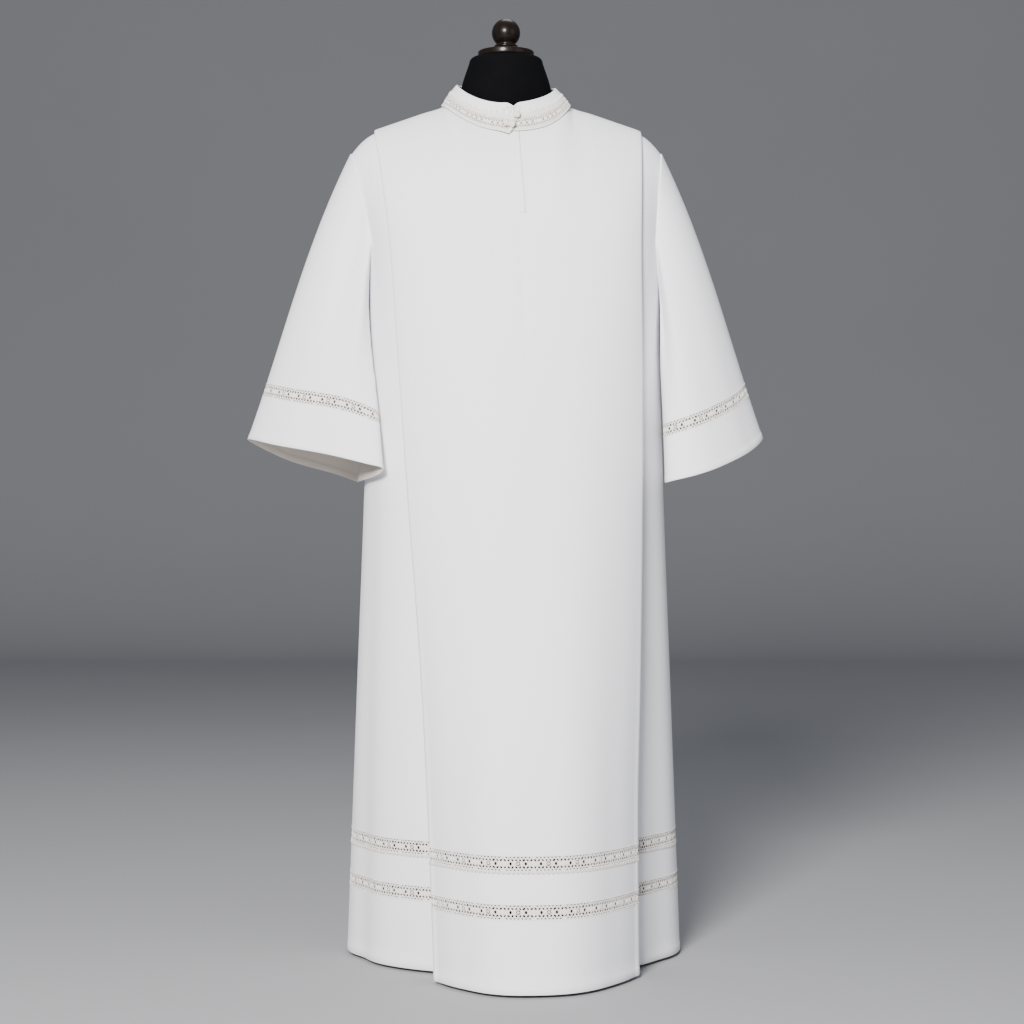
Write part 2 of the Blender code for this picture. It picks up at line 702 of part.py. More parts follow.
def collar_lap(turn):
    """The left end passes over the right one: how far out, by the share of the turn."""
    return COLLAR_LAP_OUT * max(0.0, 1 - (1 - turn) / COLLAR_LAP_BLEND)


def collar_rows():
    """Rows of the collar from its bottom to its top, each from the right end to the left one."""
    rows = []
    for share in COLLAR_SHARES:
        row = []
        for i in range(COLLAR_AROUND + 1):
            turn = i / COLLAR_AROUND
            angle = COLLAR_START + turn * COLLAR_TURN
            corner = min(turn, 1 - turn) * COLLAR_TURN
            round_off = COLLAR_CORNER_DROP * max(0.0, 1 - corner / COLLAR_CORNER) * share
            row.append(collar_point(angle, share - round_off, collar_lap(turn)))
        rows.append(row)
    return rows


def laid_points(rows, places, columns, out):
    """Points of a grid at fractional rows, moved out along the grid's own normals."""
    rows = [[np.array(p) for p in row] for row in rows]
    laid = []
    for place in places:
        low = min(int(place), len(rows) - 2)
        line = []
        for c in columns:
            before, after = max(c - 1, 0), min(c + 1, len(rows[0]) - 1)
            up = rows[low + 1][c] - rows[low][c]
            across = rows[low][after] - rows[low][before]
            normal = np.cross(across, up)
            normal /= np.linalg.norm(normal)
            point = mix(rows[low][c], rows[low + 1][c], place - low)
            if np.dot(normal[:2], point[:2]) < 0:
                normal = -normal
            line.append(point + normal * out)
        laid.append(line)
    return laid


def build_collar(cloth, lace, button_cloth):
    rows = collar_rows()
    add_grid("collar_band", rows, cloth, COLLAR_WALL)
    out = COLLAR_WALL / 2 + LAY_GAP + LACE_WALL / 2
    columns = range(COLLAR_LACE_FROM, COLLAR_AROUND + 1)
    add_grid("collar_lace", laid_points(rows, COLLAR_LACE_PLACES, columns, out), lace, LACE_WALL)
    for name, share, radii, angle, lapped in BUTTONS:
        outer = COLLAR_WALL / 2 + LAY_GAP + LACE_WALL + BUTTON_STAND + radii[1]
        add_button(name, collar_point(math.radians(angle), share, outer + lapped), radii, button_cloth)


def add_button(name, centre, radii, material):
    mesh = bpy.data.meshes.new(name)
    shape = bmesh.new()
    bmesh.ops.create_uvsphere(shape, u_segments=12, v_segments=6, radius=1.0)
    bmesh.ops.scale(shape, vec=radii, verts=shape.verts)
    shape.to_mesh(mesh)
    shape.free()
    mesh.materials.append(material)
    mesh.shade_smooth()
    button = bpy.data.objects.new(name, mesh)
    button.location = centre
    bpy.data.collections[COLLECTION_NAME].objects.link(button)


def build_placket(cloth):
    """The folded strip left of the neck slit, made from the panel's own points, moved out."""
    rows = [yoke_row(FRONT, step) for step in PLACKET_STEPS]
    slit = SIDE_STEPS + FOLD_STEPS + FRONT.places.index(SLIT_X - SLIT_GAP / 2)
    out = CLOTH_WALL + LAY_GAP
    edges = laid_points(rows, range(len(rows)), (slit - 1, slit), out)
    for pair in edges:
        width = math.dist(*pair)
        pair[0] = mix(pair[1], pair[0], PLACKET_WIDTH / width)
    add_grid("placket_strip", edges, cloth, CLOTH_WALL)


# Rings of the form's covered body, from the hip up: height, half width, half depth, squareness
FORM_RINGS = (
    (0.700, 0.150, 0.104, 2.0),
    (0.704, 0.158, 0.110, 2.0),
    (0.780, 0.170, 0.116, 2.0),
    (0.880, 0.160, 0.108, 2.0),
    (0.980, 0.152, 0.102, 2.0),
    (1.080, 0.166, 0.110, 2.1),
    (1.160, 0.174, 0.110, 2.1),
    (1.215, 0.174, 0.098, 2.0),
    (1.255, 0.169, 0.080, 1.7),
    (1.280, 0.160, 0.070, 1.4),
    (1.2970, 0.1500, 0.062, 1.2),
    (1.3037, 0.1310, 0.058, 1.2),
    (1.3075, 0.1080, 0.0575, 1.3),
    (1.318, 0.0820, 0.057, 1.7),
    (1.335, 0.0720, 0.057, 2.0),
    (1.352, 0.0680, 0.056, 2.0),
    (1.3850, 0.0570, 0.050, 2.0),
    (1.3915, 0.0540, 0.047, 2.0),
    (1.3940, 0.0480, 0.042, 2.0),
)
# The turned finial, from its top down: radius, height
FINIAL_PROFILE = (
    (0.0, 1.4545), (0.0080, 1.4530), (0.0155, 1.4480), (0.0205, 1.4400), (0.0220, 1.4325),
    (0.0205, 1.4250), (0.0165, 1.4185), (0.0130, 1.4160), (0.0165, 1.4148), (0.0185, 1.4125),
    (0.0185, 1.4105), (0.0160, 1.4085), (0.0200, 1.4070), (0.0280, 1.4037), (0.0, 1.4037),
)
CAP_PROFILE = (
    (0.0, 1.4034), (0.0415, 1.4034), (0.0434, 1.4015), (0.0434, 1.3960), (0.0420, 1.3943), (0.0, 1.3943),
)
FOOT_PROFILE = (
    (0.0, FOOT_HEIGHT), (0.030, FOOT_HEIGHT), (0.085, 0.0140), (0.114, 0.0095), (FOOT_RADIUS, 0.0050),
    (FOOT_RADIUS, 0.0), (0.0, 0.0),
)


def add_turned(name, profile, steps, material):
    """A shape turned about the Z axis from its outline, top to bottom."""
    mesh = bpy.data.meshes.new(name)
    edges = [(i, i + 1) for i in range(len(profile) - 1)]
    mesh.from_pydata([(radius, 0.0, height) for radius, height in profile], edges, [])
    mesh.materials.append(material)
    part = bpy.data.objects.new(name, mesh)
    bpy.data.collections[COLLECTION_NAME].objects.link(part)
    screw = part.modifiers.new("turn", "SCREW")
    screw.steps = steps
    screw.render_steps = steps
    screw.use_merge_vertices = True
    screw.merge_threshold = 0.0001
    screw.use_smooth_shade = True
    return part


def build_form(black_cloth, dark_wood, metal):
    rings = []
    for height, half_width, half_depth, squareness in FORM_RINGS:
        ring = []
        for i in range(FORM_AROUND):
            angle = 2 * math.pi * i / FORM_AROUND
            across, ahead = math.cos(angle), math.sin(angle)
            ring.append((half_width * math.copysign(abs(across) ** (2 / squareness), across),
                         half_depth * math.copysign(abs(ahead) ** (2 / squareness), ahead), height))
        rings.append(ring)
    points = [p for ring in rings for p in ring]
    last = len(points) - FORM_AROUND
    faces = tube_faces(len(rings), FORM_AROUND)
    faces.append(tuple(range(FORM_AROUND))[::-1])
    faces.append(tuple(range(last, last + FORM_AROUND)))
    add_object("form_body", points, faces, black_cloth)
    add_turned("form_cap", CAP_PROFILE, 28, dark_wood)
    add_turned("form_finial", FINIAL_PROFILE, 20, dark_wood)
    add_turned("form_foot", FOOT_PROFILE, 36, metal)
    low = FOOT_HEIGHT + SEAM_GAP
    high = FORM_RINGS[0][0] - SEAM_GAP
    mesh = bpy.data.meshes.new("form_pole")
    shape = bmesh.new()
    bmesh.ops.create_cone(shape, cap_ends=True, segments=20, radius1=POLE_RADIUS,
                          radius2=POLE_RADIUS, depth=high - low)
    shape.to_mesh(mesh)
    shape.free()
    mesh.materials.append(metal)
    pole = bpy.data.objects.new("form_pole", mesh)
    pole.location = (0.0, 0.0, (low + high) / 2)
    bpy.data.collections[COLLECTION_NAME].objects.link(pole)


def main():
    for old in list(bpy.data.objects):
        bpy.data.objects.remove(old, do_unlink=True)
    collection = bpy.data.collections.new(COLLECTION_NAME)
    bpy.context.scene.collection.children.link(collection)
    cloth = new_material("white_cloth", (0.86, 0.86, 0.88), 0.85)
    lace = new_material("ivory_lace", (0.84, 0.80, 0.73), 0.9)
    button_cloth = new_material("cream_cloth", (0.82, 0.74, 0.67), 0.8)
    black_cloth = new_material("black_form_cloth", (0.012, 0.012, 0.014), 0.85)
    dark_wood = new_material("dark_turned_wood", (0.035, 0.024, 0.018), 0.35)
    metal = new_material("dark_stand_metal", (0.03, 0.03, 0.03), 0.45, 0.8)
    build_form(black_cloth, dark_wood, metal)
    build_body(cloth, lace)
    build_sleeves(cloth, lace)
    build_collar(cloth, lace, button_cloth)
    build_placket(cloth)


main()
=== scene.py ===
# The finish of a white alb with inset lace, worn by a limbless black dress form.
import math
import random

import bpy
import numpy as np
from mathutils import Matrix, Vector
from mathutils.geometry import delaunay_2d_cdt


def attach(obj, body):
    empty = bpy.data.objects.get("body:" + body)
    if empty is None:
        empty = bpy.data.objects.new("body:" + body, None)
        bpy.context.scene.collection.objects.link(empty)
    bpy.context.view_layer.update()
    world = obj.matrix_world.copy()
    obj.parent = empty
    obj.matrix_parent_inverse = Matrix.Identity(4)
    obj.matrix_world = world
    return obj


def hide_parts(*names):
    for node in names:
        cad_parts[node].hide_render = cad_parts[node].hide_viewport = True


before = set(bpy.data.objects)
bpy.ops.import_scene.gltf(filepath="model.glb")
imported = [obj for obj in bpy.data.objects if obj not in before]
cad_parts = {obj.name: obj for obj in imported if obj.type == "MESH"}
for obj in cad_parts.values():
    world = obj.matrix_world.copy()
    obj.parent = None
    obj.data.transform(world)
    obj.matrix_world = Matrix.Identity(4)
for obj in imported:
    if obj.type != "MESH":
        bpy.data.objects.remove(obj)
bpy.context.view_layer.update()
print("frame:", len(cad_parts), "solids")


# Small helpers for sizes and lines

class Sizes:
    # numbers by height, joined by smooth curves that never overshoot
    def __init__(self, names, rows):
        heights = np.array([row[0] for row in rows])
        self.heights = heights
        self.values, self.slopes = {}, {}
        gaps = np.diff(heights)
        for i, name in enumerate(names):
            values = np.array([row[i + 1] for row in rows])
            rise = np.diff(values) / gaps
            slopes = np.zeros(len(values))
            for k in range(1, len(values) - 1):
                if rise[k - 1] * rise[k] > 0:
                    slopes[k] = 2 * rise[k - 1] * rise[k] / (rise[k - 1] + rise[k])
            slopes[0], slopes[-1] = rise[0], rise[-1]
            self.values[name], self.slopes[name] = values, slopes

    def at(self, name, height):
        heights, values, slopes = self.heights, self.values[name], self.slopes[name]
        height = min(max(height, heights[0]), heights[-1])
        k = min(int(np.searchsorted(heights, height, side="right")) - 1, len(heights) - 2)
        span = heights[k + 1] - heights[k]
        t = (height - heights[k]) / span
        return float(values[k] * (1 + 2 * t) * (1 - t) ** 2 + slopes[k] * span * t * (1 - t) ** 2
                     + values[k + 1] * t * t * (3 - 2 * t) - slopes[k + 1] * span * t * t * (1 - t))


def mix(a, b, share):
    return a + (b - a) * share


def bell(value, place, width):
    return np.exp(-((value - place) / width) ** 2)


def runningLength(points):
    steps = np.linalg.norm(np.diff(points, axis=0), axis=1)
    return np.concatenate(([0.0], np.cumsum(steps)))


def atPlace(points, place):
    # points of a row at fractional indexes
    low = np.clip(place.astype(int), 0, len(points) - 2)
    share = (place - low)[:, None]
    return points[low] * (1 - share) + points[low + 1] * share


def evenPoints(points, count):
    marks = runningLength(points)
    return atPlace(points, np.interp(np.linspace(0, marks[-1], count), marks, np.arange(len(points))))


def smoothCurve(points, steps, closed=False):
    points = [np.array(p, float) for p in points]
    count = len(points)
    if not closed:
        points = [2 * points[0] - points[1]] + points + [2 * points[-1] - points[-2]]
    curve = []
    for i in range(count if closed else count - 1):
        a, b, c, d = (points[(i + k - 1) % count] if closed else points[i + k] for k in range(4))
        for t in np.arange(steps) / steps:
            curve.append(0.5 * (2 * b + (c - a) * t + (2 * a - 5 * b + 4 * c - d) * t ** 2
                                + (3 * b - a - 3 * c + d) * t ** 3))
    curve.append(curve[0] if closed else points[-2])
    return np.array(curve)


def gridNormals(grid, closed=False):
    # unit normals of a grid of points, rows by columns
    if closed:
        across = (np.roll(grid, -1, axis=1) - np.roll(grid, 1, axis=1))
    else:
        across = np.gradient(grid, axis=1)
    up = np.gradient(grid, axis=0)
    normals = np.cross(across, up)
    return normals / np.maximum(np.linalg.norm(normals, axis=2, keepdims=True), 1e-12)


def gridCells(rows, columns, closed=False, openCells=()):
    cells = []
    for r in range(rows - 1):
        for c in range(columns if closed else columns - 1):
            if (r, c) not in openCells:
                right = (c + 1) % columns
                cells.append((r * columns + c, r * columns + right,
                              (r + 1) * columns + right, (r + 1) * columns + c))
    return cells


# Meshes

def newPiece(name, points, faces, materials, faceMaterials=None, uv=None):
    mesh = bpy.data.meshes.new(name)
    mesh.from_pydata([tuple(p) for p in points], [], faces)
    for material in materials:
        mesh.materials.append(material)
    if faceMaterials is not None:
        mesh.polygons.foreach_set("material_index", np.array(faceMaterials, np.int32))
    if uv is not None:
        loops = np.zeros(len(mesh.loops), np.int32)
        mesh.loops.foreach_get("vertex_index", loops)
        layer = mesh.uv_layers.new(name="cut")
        layer.data.foreach_set("uv", np.asarray(uv, np.float32)[loops].ravel())
    mesh.update()
    mesh.shade_smooth()
    piece = bpy.data.objects.new(name, mesh)
    bpy.context.scene.collection.objects.link(piece)
    return piece


def boundaryEdges(faces):
    # edges that only one face uses, in that face's direction
    seen = {}
    for face in faces:
        for a, b in zip(face, face[1:] + face[:1]):
            seen[(a, b)] = True
    return [edge for edge in seen if (edge[1], edge[0]) not in seen]


def shell(name, points, normals, faces, thickness, materials, uv=None, smooth=50.0):
    # a closed skin of cloth round the given surface, the right side along the normals
    half = (np.asarray(thickness) / 2 * np.ones(len(points)))[:, None]
    outer, inner = points + normals * half, points - normals * half
    count = len(points)
    skin = list(faces)
    skin += [tuple(i + count for i in face[::-1]) for face in faces]
    rim = [(b, a, a + count, b + count) for a, b in boundaryEdges(faces)]
    slots = [0] * len(faces) + [len(materials) - 1] * len(faces) + [0] * len(rim)
    both = None if uv is None else np.concatenate((uv, uv))
    piece = newPiece(name, np.concatenate((outer, inner)), skin + rim, materials, slots, both)
    piece.data.set_sharp_from_angle(angle=math.radians(smooth))
    return piece


class Heap:
    # many small closed bodies gathered into one mesh
    def __init__(self):
        self.points, self.faces, self.count = [], [], 0

    def add(self, points, faces):
        self.points.append(np.asarray(points, float))
        self.faces += [tuple(i + self.count for i in face) for face in faces]
        self.count += len(points)

    def piece(self, name, materials):
        return newPiece(name, np.concatenate(self.points), self.faces, materials)


def tube(points, radius, sides, flat=1.0, up=None, closed=False):
    # points and faces of a round or flattened cord along a line
    points = np.asarray(points, float)
    count = len(points)
    if closed:
        ahead = np.roll(points, -1, axis=0) - np.roll(points, 1, axis=0)
    else:
        ahead = np.gradient(points, axis=0)
    ahead /= np.linalg.norm(ahead, axis=1, keepdims=True)
    side = np.cross(ahead, np.array((0.0, 0.0, 1.0)) if up is None else up)
    short = np.linalg.norm(side, axis=1) < 1e-6
    side[short] = (1.0, 0.0, 0.0)
    side /= np.linalg.norm(side, axis=1, keepdims=True)
    top = np.cross(side, ahead)
    radius = np.broadcast_to(radius, (count,))[:, None]
    rings = []
    for k in range(sides):
        angle = 2 * math.pi * k / sides
        rings.append(points + (side * math.cos(angle) + top * math.sin(angle) * flat) * radius)
    rings = np.stack(rings, axis=1).reshape(-1, 3)
    faces = []
    for r in range(count if closed else count - 1):
        for k in range(sides):
            low, high = r * sides, (r + 1) % count * sides
            faces.append((low + k, low + (k + 1) % sides, high + (k + 1) % sides, high + k))
    if not closed:
        faces.append(tuple(range(sides))[::-1])
        faces.append(tuple(range((count - 1) * sides, count * sides)))
    return rings, faces


# Shader nodes

class Wire:
    # a node's output that can be added, multiplied and so on
    def __init__(self, finish, socket):
        self.finish, self.socket = finish, socket

    def maths(self, operation, *others):
        return self.finish.node("ShaderNodeMath", {"operation": operation}, [self, *others])

    def __add__(self, other):
        return self.maths("ADD", other)

    def __mul__(self, other):
        return self.maths("MULTIPLY", other)

    __radd__ = __add__
    __rmul__ = __mul__


class Finish:
    # one material, with its shader's constants and what varies over the surface
    def __init__(self, name, colour, roughness, **constants):
        self.material = bpy.data.materials.new(name)
        self.material.use_nodes = True
        self.tree = self.material.node_tree
        self.shader = self.tree.nodes["Principled BSDF"]
        self.shader.inputs["Base Color"].default_value = (*colour, 1.0)
        self.shader.inputs["Roughness"].default_value = roughness
        for socket, value in constants.items():
            self.shader.inputs[socket.replace("_", " ")].default_value = value

    def node(self, kind, settings, values, output=0):
        node = self.tree.nodes.new(kind)
        for name, setting in settings.items():
            if name == "stops":
                for stop, (place, colour) in zip(self.stopsOf(node, len(setting)), setting):
                    stop.position, stop.color = place, (*colour, 1.0)
            else:
                setattr(node, name, setting)
        pairs = values.items() if isinstance(values, dict) else enumerate(values)
        for key, value in pairs:
            socket = node.inputs[key]
            if isinstance(value, Wire):
                self.tree.links.new(value.socket, socket)
            else:
                socket.default_value = value
        return Wire(self, node.outputs[output])

    def stopsOf(self, node, count):
        stops = node.color_ramp.elements
        while len(stops) < count:
            stops.new(0.5)
        return list(stops)

    def place(self, scale):
        # the object's own coordinates, in metres, stretched by a scale for each axis
        coordinates = self.node("ShaderNodeTexCoord", {}, {}, "Object")
        return self.node("ShaderNodeVectorMath", {"operation": "MULTIPLY"}, [coordinates, scale])

    def cutPlace(self, scale):
        # the flat cloth's coordinates, in metres, before it was hung
        coordinates = self.node("ShaderNodeUVMap", {"uv_map": "cut"}, {})
        return self.node("ShaderNodeVectorMath", {"operation": "MULTIPLY"}, [coordinates, scale])

    def noise(self, place, scale, detail=2.0):
        return self.node("ShaderNodeTexNoise", {}, {"Vector": place, "Scale": scale, "Detail": detail})

    def blend(self, factor, first, second):
        node = self.tree.nodes.new("ShaderNodeMix")
        node.data_type = "RGBA"
        self.tree.links.new(factor.socket, node.inputs["Factor"])
        for socket, value in ((node.inputs[6], first), (node.inputs[7], second)):
            if isinstance(value, Wire):
                self.tree.links.new(value.socket, socket)
            else:
                socket.default_value = (*value, 1.0)
        return Wire(self, node.outputs[2])

    def feed(self, socket, wire):
        self.tree.links.new(wire.socket, self.shader.inputs[socket])

    def bump(self, height, strength, distance):
        values = {"Height": height, "Strength": strength, "Distance": distance}
        self.feed("Normal", self.node("ShaderNodeBump", {}, values))


def clothFinish(name, light, shade, roughness, threads, **constants):
    # plain weave: warp and weft threads, slubs, and a slow change of tone
    finish = Finish(name, light, roughness, **constants)
    place = finish.cutPlace((threads, threads, 1.0))
    parts = finish.node("ShaderNodeSeparateXYZ", {}, [place])
    weft = Wire(finish, parts.socket.node.outputs[1])
    weave = parts.maths("SINE") * weft.maths("SINE")
    slubs = finish.noise(finish.cutPlace((90.0, 900.0, 1.0)), 1.0, 1.0)
    soft = finish.noise(finish.cutPlace((6.0, 3.0, 1.0)), 1.0, 3.0)
    finish.bump(weave * 0.6 + slubs * 0.5, 0.16, 0.0002)
    finish.feed("Base Color", finish.blend(soft * 0.8 + slubs * 0.2, light, shade))
    finish.feed("Roughness", slubs * 0.1 + (roughness - 0.05))
    return finish.material


def laceFinish(name, light, shade):
    # thread that winds along every cord and petal
    finish = Finish(name, light, 0.8, Sheen_Weight=0.25, Sheen_Roughness=0.5)
    thread = finish.noise(finish.place((1.0, 1.0, 1.0)), 1600.0, 2.0)
    tone = finish.noise(finish.place((1.0, 1.0, 1.0)), 90.0, 3.0)
    finish.feed("Base Color", finish.blend(thread * 0.5 + tone * 0.5, shade, light))
    finish.bump(thread, 0.5, 0.0002)
    return finish.material


def woodFinish(name):
    # dark stained turned wood under lacquer, grain along the axis
    finish = Finish(name, (0.030, 0.019, 0.013), 0.32, Coat_Roughness=0.10, Coat_Weight=0.12,
                    Specular_IOR_Level=0.12)
    grain = finish.noise(finish.place((160.0, 160.0, 18.0)), 1.0, 5.0)
    rings = finish.noise(finish.place((20.0, 20.0, 420.0)), 1.0, 2.0)
    dark, light = (0.002, 0.0012, 0.001), (0.011, 0.0065, 0.0045)
    finish.feed("Base Color", finish.blend(grain * 0.8 + rings * 0.2, dark, light))
    finish.feed("Roughness", grain * 0.18 + 0.26)
    finish.bump(grain + rings * 0.5, 0.12, 0.0004)
    return finish.material


def jerseyFinish(name):
    # black jersey: fine wales round the form
    finish = Finish(name, (0.002, 0.002, 0.003), 0.95, Specular_IOR_Level=0.05)
    wales = finish.noise(finish.place((1500.0, 1500.0, 700.0)), 1.0, 1.0)
    soft = finish.noise(finish.place((30.0, 30.0, 30.0)), 1.0, 2.0)
    dark, light = (0.0010, 0.0010, 0.0014), (0.0035, 0.0035, 0.0042)
    finish.feed("Base Color", finish.blend(soft * 0.5 + wales * 0.5, dark, light))
    finish.bump(wales, 0.35, 0.0003)
    return finish.material


def enamelFinish(name):
    finish = Finish(name, (0.02, 0.02, 0.021), 0.4)
    skin = finish.noise(finish.place((1.0, 1.0, 1.0)), 700.0, 2.0)
    wear = finish.noise(finish.place((1.0, 1.0, 1.0)), 25.0, 4.0)
    finish.feed("Roughness", wear * 0.25 + 0.28)
    finish.feed("Base Color", finish.blend(wear, (0.014, 0.014, 0.015), (0.030, 0.030, 0.032)))
    finish.bump(skin, 0.15, 0.0003)
    return finish.material


def floorFinish(name, colour):
    finish = Finish(name, colour, 0.9)
    cloud = finish.noise(finish.place((1.0, 1.0, 1.0)), 1.2, 3.0)
    darker = tuple(value * 0.94 for value in colour)
    finish.feed("Base Color", finish.blend(cloud, darker, colour))
    return finish.material


finishes = {
    "robe": clothFinish("robeCloth", (0.85, 0.85, 0.875), (0.80, 0.80, 0.835), 0.78, 9000.0,
                        Sheen_Weight=0.12, Sheen_Roughness=0.4),
    # the inner face of every robe piece: the same white cloth, coloured darker and warmer as painted shade
    "insidePaintedShade": clothFinish("robeInsidePaintedShade", (0.74, 0.69, 0.62), (0.68, 0.62, 0.54), 0.85, 9000.0),
    "lace": laceFinish("laceThread", (0.90, 0.875, 0.82), (0.80, 0.765, 0.70)),
    "laceGround": laceFinish("laceGround", (0.80, 0.775, 0.725), (0.64, 0.605, 0.55)),
    # loops under the upper lace row, coloured brownish as painted shade of a shadowed fringe
    "picot": laceFinish("lacePicotPaintedShade", (0.66, 0.60, 0.52), (0.50, 0.44, 0.37)),
    # dark brown-grey cloth as painted shade: the collar band under its lace, and a shadow line under the neck cord
    "shadow": clothFinish("underLacePaintedShade", (0.30, 0.255, 0.215), (0.22, 0.185, 0.155), 0.9, 9000.0),
    "button": clothFinish("buttonCloth", (0.80, 0.70, 0.64), (0.72, 0.62, 0.55), 0.8, 9000.0,
                          Sheen_Weight=0.2, Sheen_Roughness=0.5),
    "thread": laceFinish("sewingThread", (0.82, 0.81, 0.80), (0.70, 0.69, 0.68)),
    "jersey": jerseyFinish("formJersey"),
    "wood": woodFinish("turnedWood"),
    "enamel": enamelFinish("standEnamel"),
}
print("finishes:", len(finishes))


# The robe's body: its outline, pleats and yoke, by height

robe = {
    "hem": 0.005,
    "lowerLace": (0.109, 0.131),
    "upperLace": (0.177, 0.199),
    "underarm": 0.99,
    "chest": 1.10,
    "top": 1.30,                 # the pleats' row for the shoulder seam
    "wall": 0.0011,
    "seamGap": 0.0001,
    "armholeHeights": (0.99, 1.045, 1.10),
    "armholeAngles": (0.0, 14.0, 21.0),
    "sideCrowding": 1.15,
    "panelRounding": 2.5,
    "slantLimit": 1.5,
    "neckHalfWidth": 0.098,
    "neckRightPower": 3.0,       # the neckline is squarer at the front's right
    "neckEase": 0.030,           # how far beside the neck's side the cloth turns down
    "easeReach": 0.036,
    "easeWidth": 0.017,
    "neckHeight": 1.3163,
    "neckTilt": math.radians(58),
    "shoulderSlope": 0.343,
    "shoulderTip": 0.2388,
    "roundFrom": 0.200,
    "roundDrop": 0.0215,
    "roundRun": 0.040,
    "yokeRise": 0.45,
    "yokeAcross": 0.3,
    "yokeEnd": 0.050,
    "yokeNeckShorter": 0.35,
    "slitX": 0.0204,
    "slitGap": 0.0006,
    "slitFrom": 0.15,            # step of the yoke where the neck slit begins
    "sideColumns": 27,
    "turnColumns": 9,
    "underColumns": 7,
    "panelColumns": 106,
    "yokeRows": 40,
    "hemDepth": 0.012,
    "hemWall": 0.0019,
}

outline = Sizes(
    ("halfWidth", "centreX", "seamY", "frontDepth", "backDepth", "squareness"),
    (
        (0.005, 0.2607, 0.012, 0.054, 0.203, 0.150, 2.0),
        (0.40, 0.2450, 0.012, 0.038, 0.180, 0.138, 2.25),
        (0.74, 0.2315, 0.012, 0.024, 0.160, 0.128, 2.5),
        (0.99, 0.2245, 0.012, 0.014, 0.146, 0.122, 2.9),
        (1.10, 0.2250, 0.012, 0.010, 0.140, 0.120, 3.1),
    ),
)
pleatNames = ("leftEdge", "rightEdge", "overlap", "step", "bulge", "foldRadius")
front = {
    "name": "front", "sign": -1, "neckReach": 0.085, "neckRise": -0.0516,
    "pleats": Sizes(pleatNames, (
        (0.005, -0.105, 0.197, 0.045, 0.068, 0.070, 0.0060),
        (0.23, -0.114, 0.196, 0.045, 0.058, 0.056, 0.0055),
        (0.46, -0.1265, 0.201, 0.044, 0.047, 0.040, 0.0050),
        (0.71, -0.146, 0.2047, 0.043, 0.034, 0.024, 0.0040),
        (0.885, -0.159, 0.2053, 0.042, 0.024, 0.012, 0.0030),
        (1.10, -0.175, 0.2035, 0.040, 0.012, 0.003, 0.0020),
        (1.30, -0.203, 0.2078, 0.040, 0.0048, 0.0, 0.0012),
    )),
    # degrees round from the seam, depth, width
    "sideFolds": {-1: (24.0, 0.008, 9.0), 1: (30.0, 0.006, 10.0)},
    # share across the panel, width, depth, height where it is deepest, reach in height
    "drape": ((0.30, 0.10, 0.0022, 0.25, 0.40), (0.52, 0.012, -0.0011, 1.02, 0.10),
              (0.70, 0.12, 0.0026, 0.35, 0.45), (0.14, 0.06, -0.0018, 0.10, 0.35),
              (0.88, 0.05, -0.0016, 0.15, 0.40), (0.45, 0.16, 0.0020, 0.75, 0.25)),
}
back = {
    "name": "back", "sign": 1, "neckReach": 0.068, "neckRise": 0.012,
    "pleats": Sizes(pleatNames, (
        (0.005, -0.150, 0.168, 0.045, 0.050, 0.030, 0.0060),
        (0.46, -0.163, 0.178, 0.044, 0.035, 0.018, 0.0050),
        (0.885, -0.178, 0.190, 0.042, 0.020, 0.006, 0.0030),
        (1.10, -0.187, 0.195, 0.040, 0.012, 0.002, 0.0020),
        (1.30, -0.203, 0.2078, 0.040, 0.0048, 0.0, 0.0012),
    )),
    "sideFolds": {-1: (22.0, 0.010, 10.0), 1: (26.0, 0.009, 10.0)},
    "drape": ((0.25, 0.10, 0.0030, 0.20, 0.45), (0.50, 0.14, -0.0030, 0.30, 0.50),
              (0.76, 0.09, 0.0028, 0.25, 0.40), (0.38, 0.05, -0.0016, 0.80, 0.22),
              (0.62, 0.06, 0.0016, 0.90, 0.20)),
}


def outlineY(face, height, x):
    power = outline.at("squareness", height)
    share = np.minimum(1.0, np.abs(x - outline.at("centreX", height)) / outline.at("halfWidth", height))
    reach = outline.at(face["name"] + "Depth", height) * (1 - share ** power) ** (1 / power)
    return outline.at("seamY", height) + face["sign"] * (reach + robe["seamGap"] / 2)


def slant(face, height, x):
    # how much longer a step towards the viewer is than one square to the outline
    if height >= robe["top"]:
        return math.hypot(1.0, robe["shoulderSlope"])
    near = 0.002
    rise = (outlineY(face, height, x + near) - outlineY(face, height, x - near)) / (2 * near)
    return min(robe["slantLimit"], math.hypot(1.0, rise))


def edgeStep(face, height, hand):
    edge = face["pleats"].at("leftEdge" if hand < 0 else "rightEdge", height)
    half = face["pleats"].at("foldRadius", height) * slant(face, height, edge)
    return edge, half, max(face["pleats"].at("step", height), 4 * half)


def foldColumns(face, height, hand):
    # the pleat from its inner fold to the panel: x, and offset from the plain outline
    radius = face["pleats"].at("foldRadius", height)
    edge, outerHalf, step = edgeStep(face, height, hand)
    inner = edge - hand * face["pleats"].at("overlap", height)
    innerHalf = radius * slant(face, height, inner)
    turn = np.linspace(-math.pi / 2, math.pi / 2, robe["turnColumns"])
    innerX = inner + hand * radius * (1 - np.cos(turn))
    innerOffset = innerHalf * (1 + np.sin(turn))
    outerX = edge - hand * radius * (1 - np.cos(turn))
    outerOffset = step - outerHalf * (1 - np.sin(turn))
    share = np.linspace(0, 1, robe["underColumns"] + 2)[1:-1]
    ease = share * share * (3 - 2 * share)
    underX = mix(innerX[-1], outerX[0], share)
    underOffset = mix(innerOffset[-1], outerOffset[0], mix(share, ease, 0.5))
    return (np.concatenate((innerX[1:], underX, outerX)),
            np.concatenate((innerOffset[1:], underOffset, outerOffset)))


def panelSpan(face, height):
    radius = face["pleats"].at("foldRadius", height)
    return edgeStep(face, height, -1)[0] + radius, edgeStep(face, height, 1)[0] - radius


